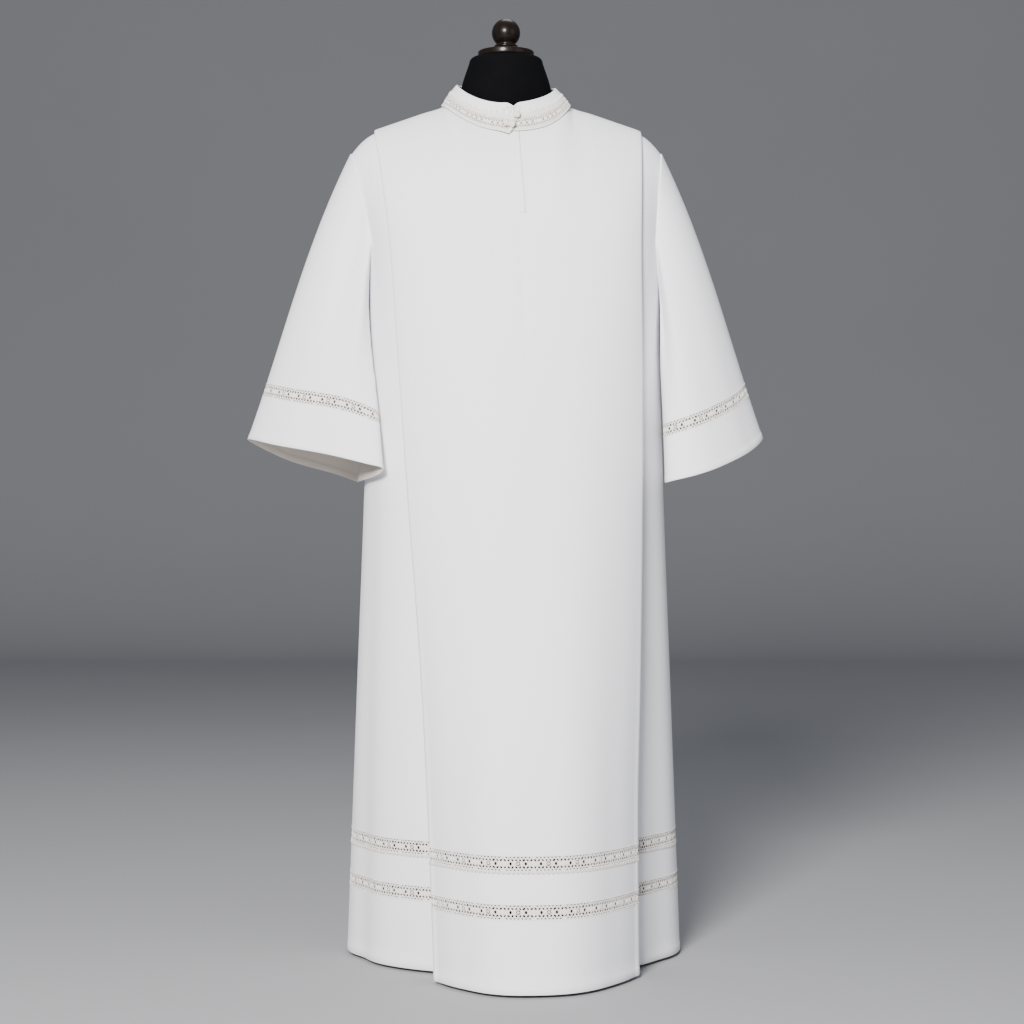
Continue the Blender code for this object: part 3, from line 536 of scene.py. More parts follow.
def panelShares(face):
    shares = np.linspace(0, 1, robe["panelColumns"])[1:-1]
    left, right = panelSpan(face, robe["top"])
    slit = [(robe["slitX"] + hand * robe["slitGap"] / 2 - left) / (right - left) for hand in (-1, 1)]
    shares = shares[np.abs(shares - np.mean(slit)) > 0.006]
    return np.sort(np.concatenate((shares, slit)))


def panelColumns(face, height):
    left, right = panelSpan(face, height)
    steps = [edgeStep(face, height, hand)[2] for hand in (-1, 1)]
    share = face["shares"]
    bulge = face["pleats"].at("bulge", height) * (1 - np.abs(2 * share - 1) ** robe["panelRounding"])
    for place, width, depth, peak, reach in face["drape"]:
        bulge = bulge + depth * bell(share, place, width) * bell(height, peak, reach)
    return mix(left, right, share), mix(steps[0], steps[1], share) + bulge


def sideColumns(face, height, hand):
    power = outline.at("squareness", height)
    halfWidth, centreX = outline.at("halfWidth", height), outline.at("centreX", height)
    radius = face["pleats"].at("foldRadius", height)
    edge = edgeStep(face, height, hand)[0]
    lastX = edge - hand * face["pleats"].at("overlap", height) + hand * radius
    start = math.radians(np.interp(height, robe["armholeHeights"], robe["armholeAngles"]))
    end = math.acos(min(1.0, (abs(lastX - centreX) / halfWidth) ** (power / 2)))
    share = np.linspace(0, 1, robe["sideColumns"])
    angle = mix(start, end, share ** robe["sideCrowding"])
    x = centreX + hand * halfWidth * np.cos(angle) ** (2 / power)
    y = outlineY(face, height, x)
    place, depth, width = face["sideFolds"][hand]
    fade = max(0.0, 1 - height / robe["underarm"])
    ends = np.minimum(1.0, np.minimum(share, 1 - share) / 0.12)
    dent = depth * fade * bell(np.degrees(angle), place, width) * ends
    return x - hand * dent * np.cos(angle), y - face["sign"] * dent * np.sin(angle)


def bodySection(face, height):
    # one face at one height, from its left side seam to its right one
    sides = [sideColumns(face, height, hand) for hand in (-1, 1)]
    folds = [foldColumns(face, height, hand) for hand in (-1, 1)]
    panel = panelColumns(face, height)
    x = np.concatenate((sides[0][0], folds[0][0], panel[0], folds[1][0][::-1], sides[1][0][::-1]))
    lifted = [outlineY(face, height, columns[0]) + face["sign"] * columns[1] for columns in (*folds, panel)]
    y = np.concatenate((sides[0][1], lifted[0], lifted[2], lifted[1][::-1], sides[1][1][::-1]))
    return np.stack((x, y, np.full(len(x), height)), axis=1)


def shoulderHeight(x):
    height = robe["neckHeight"] - front["pleats"].at("step", robe["top"])
    height = height - robe["shoulderSlope"] * (np.abs(x) - robe["neckHalfWidth"])
    beyond = np.maximum(0.0, np.abs(x) - robe["roundFrom"]) / robe["roundRun"]
    return height - robe["roundDrop"] * beyond ** 2


def neckForward(sign, x):
    # how far round towards the middle of the neck: 0 at its side, 1 at the middle
    power = np.where((sign < 0) & (x > 0), robe["neckRightPower"], 2.0)
    return np.maximum(0.0, 1 - (np.abs(x) / robe["neckHalfWidth"]) ** power) ** (1 / power)


def seamPoints(face, x, offset):
    # where columns end on the shoulder or neck seam, and their end tilt
    forward = neckForward(face["sign"], x)
    tilt = robe["neckTilt"] * forward
    neckY = face["sign"] * (face["neckReach"] * forward - offset * np.sin(tilt) + robe["seamGap"] / 2)
    neckZ = robe["neckHeight"] + face["neckRise"] * forward ** 2 - offset * np.cos(tilt)
    atShoulder = np.abs(x) >= robe["neckHalfWidth"]
    z = np.where(atShoulder, shoulderHeight(x), neckZ)
    return np.stack((x, neckY, z), axis=1), tilt


def yokeFrame(face):
    # for every column: chest point, seam point, layer offsets and end tilt
    chest = bodySection(face, robe["chest"])
    folds = [foldColumns(face, robe["chest"], hand) for hand in (-1, 1)]
    topFolds = [foldColumns(face, robe["top"], hand) for hand in (-1, 1)]
    radius = face["pleats"].at("foldRadius", robe["top"])
    share = np.linspace(0, 1, robe["sideColumns"])
    flat = np.zeros(robe["sideColumns"])
    sideTops = []
    for hand, fold in zip((-1, 1), topFolds):
        inner = edgeStep(face, robe["top"], hand)[0] - hand * face["pleats"].at("overlap", robe["top"])
        sideTops.append(mix(hand * robe["shoulderTip"], inner + hand * radius, share))
    panel, topPanel = panelColumns(face, robe["chest"]), panelColumns(face, robe["top"])
    low = np.concatenate((flat, folds[0][1], panel[1], folds[1][1][::-1], flat))
    high = np.concatenate((flat, topFolds[0][1], topPanel[1], topFolds[1][1][::-1], flat))
    topX = np.concatenate((sideTops[0], topFolds[0][0], topPanel[0],
                           topFolds[1][0][::-1], sideTops[1][::-1]))
    end, tilt = seamPoints(face, topX, high)
    spread = np.linspace(-robe["neckEase"], robe["neckEase"], 17)
    tilt = robe["neckTilt"] * np.mean([neckForward(face["sign"], topX + step) for step in spread], axis=0)
    start = chest.copy()
    start[:, 1] -= face["sign"] * low
    first = robe["sideColumns"] + len(folds[0][1])
    face["panelRange"] = slice(first, first + len(panel[1]))
    return start, end, low, high, tilt


def yokeRow(face, step):
    start, end, low, high, tilt = face["yoke"]
    rise = end[:, 2] - start[:, 2]
    zero = np.zeros(len(rise))
    lean = np.stack((zero, -face["sign"] * np.cos(tilt), np.sin(tilt)), axis=1)
    first = start + np.stack(((end[:, 0] - start[:, 0]) * robe["yokeAcross"], zero, rise * robe["yokeRise"]), axis=1)
    reach = robe["yokeEnd"] * (1 - robe["yokeNeckShorter"] * tilt / robe["neckTilt"])
    second = end - lean * reach[:, None]
    left = 1 - step
    point = (start * left ** 3 + first * 3 * left ** 2 * step
             + second * 3 * left * step ** 2 + end * step ** 3)
    slope = ((first - start) * left ** 2 + (second - first) * 2 * left * step + (end - second) * step ** 2)
    normal = np.stack((zero, face["sign"] * slope[:, 2], -face["sign"] * slope[:, 1]), axis=1)
    normal /= np.linalg.norm(normal, axis=1, keepdims=True)
    return softened(point + normal * mix(low, high, step)[:, None], face["panelRange"], step)


def softened(row, panel, step):
    # beside the neck, each point is eased towards the mean of its neighbours across the panel
    points = row[panel]
    x = points[:, 0]
    spread = np.linspace(-2.2, 2.2, 23)
    weights = np.exp(-spread ** 2 / 2)
    beside = bell(np.abs(x), robe["neckHalfWidth"], robe["easeReach"]) * (1 - step ** 6)
    for axis in (1, 2):
        near = [np.interp(x + share * robe["easeWidth"], x, points[:, axis]) for share in spread]
        row[panel, axis] = mix(points[:, axis], np.average(near, axis=0, weights=weights), beside)
    return row


for face in (front, back):
    face["shares"] = panelShares(face)
    face["yoke"] = yokeFrame(face)


def cutLines(grid):
    # metric coordinates of the flat cloth for the weave: along the middle row, and up the middle column
    middle = runningLength(grid[len(grid) // 2])
    up = runningLength(grid[:, grid.shape[1] // 2])
    across, along = np.meshgrid(middle, up)
    return np.stack((across, along), axis=2).reshape(-1, 2)


def faceGrid(face, rows):
    grid = np.stack(rows)
    normals = gridNormals(grid) * (1 if face["sign"] < 0 else -1)
    return grid, normals


def flipped(cells, turn):
    return [cell[::-1] for cell in cells] if turn else cells


def clothGrid(name, face, rows, thickness, openCells=()):
    grid, normals = faceGrid(face, rows)
    cells = flipped(gridCells(len(rows), grid.shape[1], openCells=openCells), face["sign"] > 0)
    return shell(name, grid.reshape(-1, 3), normals.reshape(-1, 3), cells, thickness,
                 [finishes["robe"], finishes["insidePaintedShade"]], cutLines(grid))


def layOn(piece, *nodes, slot="robe_cloth"):
    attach(piece, "root")
    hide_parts(*nodes)
    return piece


def hemWalls(levels, edge, columns):
    # cloth is doubled in the hem's turning
    wall = [robe["hemWall"] if abs(level - edge) < robe["hemDepth"] else robe["wall"] for level in levels]
    wall[0] = robe["hemWall"] * 0.45 if abs(levels[0] - edge) < 1e-6 else wall[0]
    return np.repeat(wall, columns)


slitColumn = int(np.argmax(np.diff(front["shares"]) < 0.004)) + robe["sideColumns"]
slitColumn += 2 * robe["turnColumns"] - 1 + robe["underColumns"]

pieces = {}
for face in (front, back):
    low = robe["upperLace"][1] + robe["seamGap"] / 2
    levels = np.concatenate((np.linspace(low, robe["underarm"], 44),
                             np.linspace(robe["underarm"], robe["chest"], 8)[1:]))
    steps = np.linspace(0, 1, robe["yokeRows"] + 1)[1:]
    rows = [bodySection(face, level) for level in levels] + [yokeRow(face, step) for step in steps]
    openCells = set()
    if face is front:
        firstRow = len(levels) + int(robe["slitFrom"] * robe["yokeRows"]) - 1
        openCells = {(row, slitColumn) for row in range(firstRow, len(rows) - 1)}
    name = face["name"] + "Upper"
    pieces[name] = clothGrid(name, face, rows, robe["wall"], openCells)
    layOn(pieces[name], *(face["name"] + part for part in ("_upper", "_middle", "_lower")))

    levels = np.linspace(robe["lowerLace"][1], robe["upperLace"][0], 6)
    name = face["name"] + "MidBand"
    pieces[name] = clothGrid(name, face, [bodySection(face, level) for level in levels], robe["wall"])
    layOn(pieces[name], face["name"] + "_mid_band")

    edge = robe["hem"]
    levels = np.array([edge, edge + 0.0005, edge + 0.0115, edge + 0.0125,
                       *np.linspace(edge + 0.03, robe["lowerLace"][0], 6)])
    rows = [bodySection(face, level) for level in levels]
    name = face["name"] + "HemBand"
    pieces[name] = clothGrid(name, face, rows, hemWalls(levels, edge, len(rows[0])))
    layOn(pieces[name], face["name"] + "_hem_band")
print("body cloth:", len(pieces), "pieces")


# Sleeves: lines from the armhole to the open end, one for each place round the sleeve

sleeves = {
    "around": 120,
    "rows": 54,
    "rowCrowding": 1.2,
    "cuffHeight": 0.070,
    "lace": 0.021,
    "lapOut": 0.0020,
    "clear": 0.006,
    "clearBy": 0.15,
    "bulge": 0.009,
    "foldLength": 0.35,
    "foldStart": 0.08,
    "hemDepth": 0.010,
    # the open end once round: outer, front (outer, middle, inner), inner (fold, turn, side), back (3)
    "ends": {
        -1: ((-0.400, 0.000, 0.802), (-0.346, -0.062, 0.791), (-0.270, -0.098, 0.777),
             (-0.212, -0.113, 0.763), (-0.1845, -0.112, 0.7555), (-0.196, -0.088, 0.745),
             (-0.2255, -0.025, 0.7375), (-0.235, 0.035, 0.738), (-0.270, 0.075, 0.750),
             (-0.345, 0.060, 0.772)),
        1: ((0.397, 0.000, 0.805), (0.371, -0.062, 0.782), (0.324, -0.105, 0.759),
            (0.287, -0.120, 0.746), (0.2505, -0.115, 0.737), (0.2405, -0.090, 0.734),
            (0.250, -0.030, 0.738), (0.258, 0.050, 0.748), (0.295, 0.115, 0.770),
            (0.360, 0.090, 0.792)),
    },
    # place round (share), width (share), depth, share of the length where it is deepest
    "folds": {
        -1: ((0.20, 0.035, -0.006, 0.15), (0.30, 0.04, 0.005, 0.25), (0.72, 0.04, -0.007, 0.30)),
        1: ((0.34, 0.030, -0.010, 0.20), (0.42, 0.035, 0.006, 0.25), (0.72, 0.04, -0.007, 0.30)),
    },
}


def armholeLoop(hand):
    # the body's armhole once round from the shoulder tip by the front, and the way out from it
    halves = []
    column = 0 if hand < 0 else -1
    for face in (front, back):
        edge = [bodySection(face, level)[column] for level in np.linspace(robe["underarm"], robe["chest"], 16)]
        edge += [yokeRow(face, step)[column] for step in np.linspace(0, 1, 33)[1:]]
        points = evenPoints(np.array(edge[::-1]), sleeves["around"] // 2 + 1)
        rise = np.linspace(1, 0, len(points))
        out = np.stack((np.full(len(points), float(hand)), face["sign"] * np.sin(math.pi * rise),
                        np.maximum(0.0, 2 * rise - 1)), axis=1)
        halves.append((points, out / np.linalg.norm(out, axis=1, keepdims=True)))
    (frontEdge, frontOut), (backEdge, backOut) = halves
    return (np.concatenate((frontEdge, backEdge[::-1][1:-1])),
            np.concatenate((frontOut, backOut[::-1][1:-1])))


def pushClear(points, clearance):
    # a sleeve's points move outward where they would touch the hanging body
    moved = points.copy()
    for i, point in enumerate(points):
        height = point[2]
        if height > robe["chest"]:
            continue
        power = outline.at("squareness", height)
        centreX, seamY = outline.at("centreX", height), outline.at("seamY", height)
        depth = outline.at("frontDepth" if point[1] < seamY else "backDepth", height) + clearance[i]
        halfWidth = outline.at("halfWidth", height) + clearance[i]
        size = (abs((point[0] - centreX) / halfWidth) ** power + abs((point[1] - seamY) / depth) ** power) ** (1 / power)
        if size < 1:
            moved[i, 0] = centreX + (point[0] - centreX) / size
            moved[i, 1] = seamY + (point[1] - seamY) / size
    return moved


class Sleeve:
    def __init__(self, hand):
        self.hand = hand
        self.edge, self.out = armholeLoop(hand)
        self.start = self.edge + self.out * sleeves["lapOut"]
        self.end = evenPoints(smoothCurve(sleeves["ends"][hand], 24, closed=True), sleeves["around"] + 1)[:-1]
        self.lengths = np.linalg.norm(self.start - self.end, axis=1)
        self.around = np.arange(sleeves["around"]) / sleeves["around"]

    def ring(self, share):
        # share of the way down, one for each place round
        share = share * np.ones(sleeves["around"])
        column = share[:, None]
        points = self.start * (1 - column) + self.end * column
        swell = 27 / 4 * share * (1 - share) ** 2
        points[:, 0] += self.hand * sleeves["bulge"] * swell * ((1 + np.cos(2 * math.pi * self.around)) / 2) ** 2
        middle = self.start.mean(axis=0) * (1 - column) + self.end.mean(axis=0) * column
        out = points - middle
        out[:, 2] = 0
        out /= np.linalg.norm(out, axis=1, keepdims=True)
        for place, width, depth, peak in sleeves["folds"][self.hand]:
            along = bell(share, peak, sleeves["foldLength"]) * np.minimum(1.0, share / sleeves["foldStart"])
            points += out * (depth * bell(self.around, place, width) * along)[:, None]
        clearance = mix(sleeves["lapOut"], sleeves["clear"], np.minimum(1.0, share / sleeves["clearBy"]))
        return pushClear(points, clearance)

    def above(self, level):
        return self.ring(1 - level / self.lengths)


def tubeNormals(grid):
    normals = gridNormals(grid, closed=True)
    middle = grid.mean(axis=1, keepdims=True)
    turned = np.sum(normals * (grid - middle)) < 0
    return (-normals if turned else normals), turned


def tubeCloth(name, rings, thickness):
    grid = np.stack(rings)
    normals, turned = tubeNormals(grid)
    cells = flipped(gridCells(len(rings), grid.shape[1], closed=True), turned)
    return shell(name, grid.reshape(-1, 3), normals.reshape(-1, 3), cells, thickness,
                 [finishes["robe"], finishes["insidePaintedShade"]], cutLines(grid))


sleeveShapes = {"left": Sleeve(-1), "right": Sleeve(1)}
for side, sleeve in sleeveShapes.items():
    laceTop = sleeves["cuffHeight"] + sleeves["lace"]
    ends = 1 - laceTop / sleeve.lengths
    falls = np.linspace(0, 1, sleeves["rows"]) ** sleeves["rowCrowding"]
    rings = [sleeve.edge - sleeve.out * 0.0004, sleeve.edge + sleeve.out * 0.0011]
    rings += [sleeve.ring(ends * fall) for fall in falls]
    name = side + "Sleeve"
    pieces[name] = tubeCloth(name, rings, robe["wall"])
    layOn(pieces[name], "sleeve_" + side)

    levels = np.array([*np.linspace(sleeves["cuffHeight"], 0.014, 8), 0.0105, 0.0095, 0.0005, 0.0])
    rings = [sleeve.above(level) for level in levels]
    wall = np.where(levels < sleeves["hemDepth"], robe["hemWall"], robe["wall"])
    wall[-1] *= 0.45
    name = side + "Cuff"
    pieces[name] = tubeCloth(name, rings, np.repeat(wall, sleeves["around"]))
    layOn(pieces[name], "sleeve_" + side + "_cuff")
print("sleeves done")


# Collar: a standing band whose left end laps over the right one

collar = {
    "columns": 220,
    "rows": 14,
    "lift": 0.0021,
    "topHalfWidth": 0.0755,
    "topReach": (0.072, 0.058),
    "topHeight": (1.3105, 1.352, 1.362),
    "topCurve": 1.4,
    "rightTop": (1.347, 1.15),       # the right side's height at the front, and its curve
    "belly": 0.002,
    "lap": math.radians(6),
    "lapOut": 0.0040,
    "lapBlend": 0.06,
    "start": math.radians(2),
    "corner": math.radians(8),
    "cornerDrop": 0.13,
    "tipDrop": 0.0060,
    "tipOut": 0.0038,
    "tipFrom": math.radians(17),
    "tipBack": math.radians(5),      # how far the lapped end's lower edge slants back
    "tipShare": 0.32,
    "wall": 0.0020,
    "laceShares": (0.03, 0.60),
    "laceOut": 0.0013,
    "cordRadius": 0.0011,
    "cordShade": 0.0006,
    "flowerEvery": 0.0095,           # flowers along the lace's upper edge
    "endFlowers": ((0.006, 0.74), (0.011, 0.90), (0.017, 0.78), (0.004, 0.93)),
}


def collarPoints(turn, share):
    # points of the band: turn runs once round from the right end, share from the bottom to the top
    angle = collar["start"] + turn * (2 * math.pi + collar["lap"])
    tip = collar["tipBack"] * np.maximum(0.0, 1 - share / collar["tipShare"])
    angle = angle - tip * np.maximum(0.0, 1 - (1 - turn) / 0.03)
    whole = 2 * math.pi + collar["lap"]
    corner = np.minimum(np.maximum(0.0, turn * whole - collar["lap"]), (1 - turn) * whole)
    roundOff = collar["cornerDrop"] * np.maximum(0.0, 1 - corner / collar["corner"]) ** 1.6
    share = share - roundOff * share
    low = (1 - share) * np.maximum(0.0, 1 - (1 - turn) * whole / collar["tipFrom"]) ** 1.4
    ahead, across = np.cos(angle), np.sin(angle)
    isFront = ahead > 0
    lowReach = np.where(isFront, front["neckReach"], back["neckReach"])
    lowRise = np.where(isFront, front["neckRise"], back["neckRise"])
    highReach = np.where(isFront, *collar["topReach"])
    highEnd = np.where(isFront, collar["topHeight"][0], collar["topHeight"][2])
    onRight = isFront & (across > 0)
    forward = np.where(onRight, neckForward(-1, robe["neckHalfWidth"] * across), np.abs(ahead))
    bottom = np.stack((robe["neckHalfWidth"] * across, -lowReach * np.copysign(forward, ahead),
                       robe["neckHeight"] + collar["lift"] + lowRise * forward ** 2), axis=-1)
    side = np.where(across > 0, mix(collar["topHeight"][1], collar["rightTop"][0], np.abs(across)),
                    collar["topHeight"][1])
    power = np.where(onRight, collar["rightTop"][1], collar["topCurve"])
    high = np.stack((collar["topHalfWidth"] * across, -highReach * ahead,
                     side + (highEnd - side) * np.abs(ahead) ** power), axis=-1)
    out = np.stack((across * lowReach, -ahead * robe["neckHalfWidth"], 0 * ahead), axis=-1)
    out /= np.linalg.norm(out, axis=-1, keepdims=True)
    lap = collar["lapOut"] * np.maximum(0.0, 1 - (1 - turn) / collar["lapBlend"])
    lap = lap + collar["belly"] * np.sin(math.pi * share) + collar["tipOut"] * low
    ease = share[..., None]
    points = bottom * (1 - ease) + high * ease + out * lap[..., None]
    points[..., 2] -= collar["tipDrop"] * low
    return points


def collarGrid(turns, shares):
    turn, share = np.meshgrid(turns, shares)
    grid = collarPoints(turn, share)
    normals = gridNormals(grid)
    outward = grid * np.array((1.0, 1.0, 0.0))
    return grid, normals if np.sum(normals * outward) > 0 else -normals


def roundedRim(rows, columns, wall):
    # the wall thins over the first and last rows and columns, so the rim is round
    rowShare, columnShare = np.ones(rows), np.ones(columns)
    for share in (rowShare, columnShare):
        share[[0, -1]], share[[1, -2]] = 0.35, 0.85
    return (np.minimum.outer(rowShare, columnShare) * wall).ravel()


edgeSteps = np.array((0.0, 0.012, 0.03))
shares = np.concatenate((edgeSteps, np.linspace(0.08, 0.92, collar["rows"]), 1 - edgeSteps[::-1]))
turns = np.concatenate((edgeSteps / 12, np.linspace(0.005, 0.995, collar["columns"]), 1 - edgeSteps[::-1] / 12))
grid, normals = collarGrid(turns, shares)
pieces["collar"] = shell("collarBand", grid.reshape(-1, 3), normals.reshape(-1, 3), gridCells(*grid.shape[:2]),
                         roundedRim(*grid.shape[:2], collar["wall"]),
                         [finishes["robe"], finishes["shadow"], finishes["robe"]], cutLines(grid))
lowShare, highShare = collar["laceShares"]
across = len(turns) - 1
for cell in range((len(shares) - 1) * across):
    # the band's cloth under the lace is coloured dark brown-grey as painted shade, so the lace's gaps look dark
    turn, share = turns[cell % across], shares[cell // across]
    if lowShare + 0.02 < share < highShare - 0.10 and 0.006 < turn < 0.99:
        pieces["collar"].data.polygons[cell].material_index = 1
layOn(pieces["collar"], "collar_band")
print("collar done")


# Lace: a pierced ribbon of thread with flowers and stems worked over it

lace = {
    "repeat": 0.044,
    "ribbon": 0.00045,
    "wheel": (0.0032, 0.0036),      # half sizes of the open wheel in the middle of a repeat
    "wheels": True,
    "motifs": 4,                    # flowers in a repeat
    "flower": 0.0024,
    "middle": 0.5,                  # where the flowers stand, and how far the pattern reaches, in widths
    "reach": 0.5,
    "gap": (0.0023, 0.0015),        # half sizes of a gap
    "cord": 0.0007,
    "petal": 0.0006,
    "stem": 0.00042,
    "picot": (0.0072, 0.0044),      # width and depth of a loop under the upper row
    "seed": 7,
}


def flower(place, petals, size, turn=0.0):
    u, v = place
    shapes = [(u + math.cos(a) * size * 0.58, v + math.sin(a) * size * 0.58, a, size * 0.46, size * 0.30)
              for a in np.arange(petals) * 2 * math.pi / petals + turn]
    return shapes + [(u, v, 0.0, size * 0.26, size * 0.26)]


def laceShapes(length, width, style):
    # in one repeat: petals and flower middles as (u, v, angle, half length, half width), and stems as lines
    pitch, middle, reach = length / style["motifs"], style["middle"] * width, style["reach"] * width
    petals = flower((0.0, middle), 6, style["flower"] * 1.25, math.pi / 6)
    stems = []
    for k in range(style["motifs"]):
        centre = (k + 0.5) * pitch
        petals += flower((centre, middle), 5, style["flower"], k * 0.7)
        for side in (1, -1):
            line = [(-0.5, 0.70), (-0.25, 0.73), (0.0, 0.66), (0.25, 0.73), (0.5, 0.70)]
            stems.append([(centre + u * pitch, middle + side * v * reach) for u, v in line])
    return petals, stems


def laceHoles(length, width, rng, style):
    # gaps in one repeat: slanting ovals round each flower, and more ovals between the flowers
    pitch, middle, reach = length / style["motifs"], style["middle"] * width, style["reach"] * width
    long, wide = style["gap"]
    holes = [(length / 2, middle, *lace["wheel"], 0.0, 16)] if style["wheels"] else []
    for k in range(style["motifs"]):
        for across, up in ((1, 1), (1, -1), (-1, 1), (-1, -1)):
            size = rng.uniform(0.82, 1.08)
            holes.append(((k + 0.5 + across * 0.25) * pitch, middle + up * reach * 0.46, long * size, wide * size,
                          across * up * rng.uniform(0.55, 0.95), 8))
        for up in (1, -1):
            size = rng.uniform(0.75, 1.0)
            holes.append(((k + 0.5) * pitch, middle + up * reach * 0.82, long * 0.75 * size, wide * 0.8, 0.0, 7))
    for k in range(1, style["motifs"]):
        if not (style["wheels"] and 2 * k == style["motifs"]):
            holes.append((k * pitch, middle, wide * 1.3, long * 1.1, 0.0, 9))
        for up in (1, -1):
            size = rng.uniform(0.75, 1.0)
            holes.append((k * pitch, middle + up * reach * 0.82, long * 0.75 * size, wide * 0.8, 0.0, 7))
    return holes


def laceTile(length, width, rng, style):
    # one repeat of the ribbon: points, triangles and which points lie on its two ends
    petals, stems = laceShapes(length, width, style)
    holes = laceHoles(length, width, rng, style)
    toMm = 1000.0
    points, faces = [], []
    rows = 8
    for k in range(rows + 1):
        points += [(0.0, width * k / rows), (length, width * k / rows)]
    for k in range(1, 14):
        points += [(length * k / 14, 0.0), (length * k / 14, width)]
    for u, v, halfU, halfV, turn, corners in holes:
        ring = []
        for k in range(corners):
            angle = 2 * math.pi * k / corners
            x, y = halfU * math.cos(angle), halfV * math.sin(angle)
            ring.append(len(points))
            points.append((u + x * math.cos(turn) - y * math.sin(turn),
                           v + x * math.sin(turn) + y * math.cos(turn)))
        faces.append(ring)
    for i in range(1, 14):
        for k in range(1, 6):
            spot = (length * i / 14, width * k / 6)
            if all(math.hypot(spot[0] - h[0], spot[1] - h[1]) > max(h[2], h[3]) + 0.0006 for h in holes):
                points.append(spot)
    flat = [Vector((u * toMm, v * toMm)) for u, v in points]
    found, _, triangles, _, _, origins = delaunay_2d_cdt(flat, [], faces, 0, 1e-4, True)
    kept = [tuple(triangle) for triangle, origin in zip(triangles, origins) if not origin]
    return np.array([(p.x / toMm, p.y / toMm) for p in found]), kept, petals, stems


class Band:
    # a strip of cloth surface, addressed by length along it, height up it and distance off it
    def __init__(self, grid, normals):
        self.grid, self.normals = grid, normals
        self.marks = runningLength(grid[len(grid) // 2])
        self.length = self.marks[-1]
        self.width = float(np.mean([runningLength(grid[:, c])[-1] for c in range(0, grid.shape[1], 9)]))

    def at(self, u, v, out):
        rows, columns = self.grid.shape[:2]
        c = np.interp(u, self.marks, np.arange(columns))
        c0 = np.clip(c.astype(int), 0, columns - 2)
        r = np.asarray(v) / self.width * (rows - 1)
        r0 = np.clip(np.floor(r).astype(int), 0, rows - 2)
        s, t = (c - c0)[:, None], (r - r0)[:, None]

        def read(table):
            return ((table[r0, c0] * (1 - s) + table[r0, c0 + 1] * s) * (1 - t)
                    + (table[r0 + 1, c0] * (1 - s) + table[r0 + 1, c0 + 1] * s) * t)

        normals = read(self.normals)
        normals /= np.linalg.norm(normals, axis=1, keepdims=True)
        return read(self.grid) + normals * np.asarray(out)[..., None]


def petalBody(band, u, v, angle, half, wide, lift, height, corners=8):
    # a low closed dome with a pointed oval outline
    ring = np.arange(corners) * 2 * math.pi / corners
    outlines = []
    for size, level in ((1.0, lift), (0.62, lift + height * 0.8)):
        x, y = np.cos(ring) * half * size, np.sin(ring) * wide * size * (1 - 0.25 * np.cos(ring))
        outlines.append((u + x * math.cos(angle) - y * math.sin(angle),
                         v + x * math.sin(angle) + y * math.cos(angle), np.full(corners, level)))
    places = [np.concatenate(parts) for parts in zip(*outlines, ([u], [v], [lift + height]))]
    points = band.at(*places)
    n = corners
    faces = [(k, (k + 1) % n, n + (k + 1) % n, n + k) for k in range(n)]
    faces += [(n + k, n + (k + 1) % n, 2 * n) for k in range(n)]
    faces.append(tuple(range(n))[::-1])
    return points, faces


def lineOn(band, line, lift):
    line = np.asarray(line)
    return band.at(line[:, 0], line[:, 1], np.full(len(line), lift))


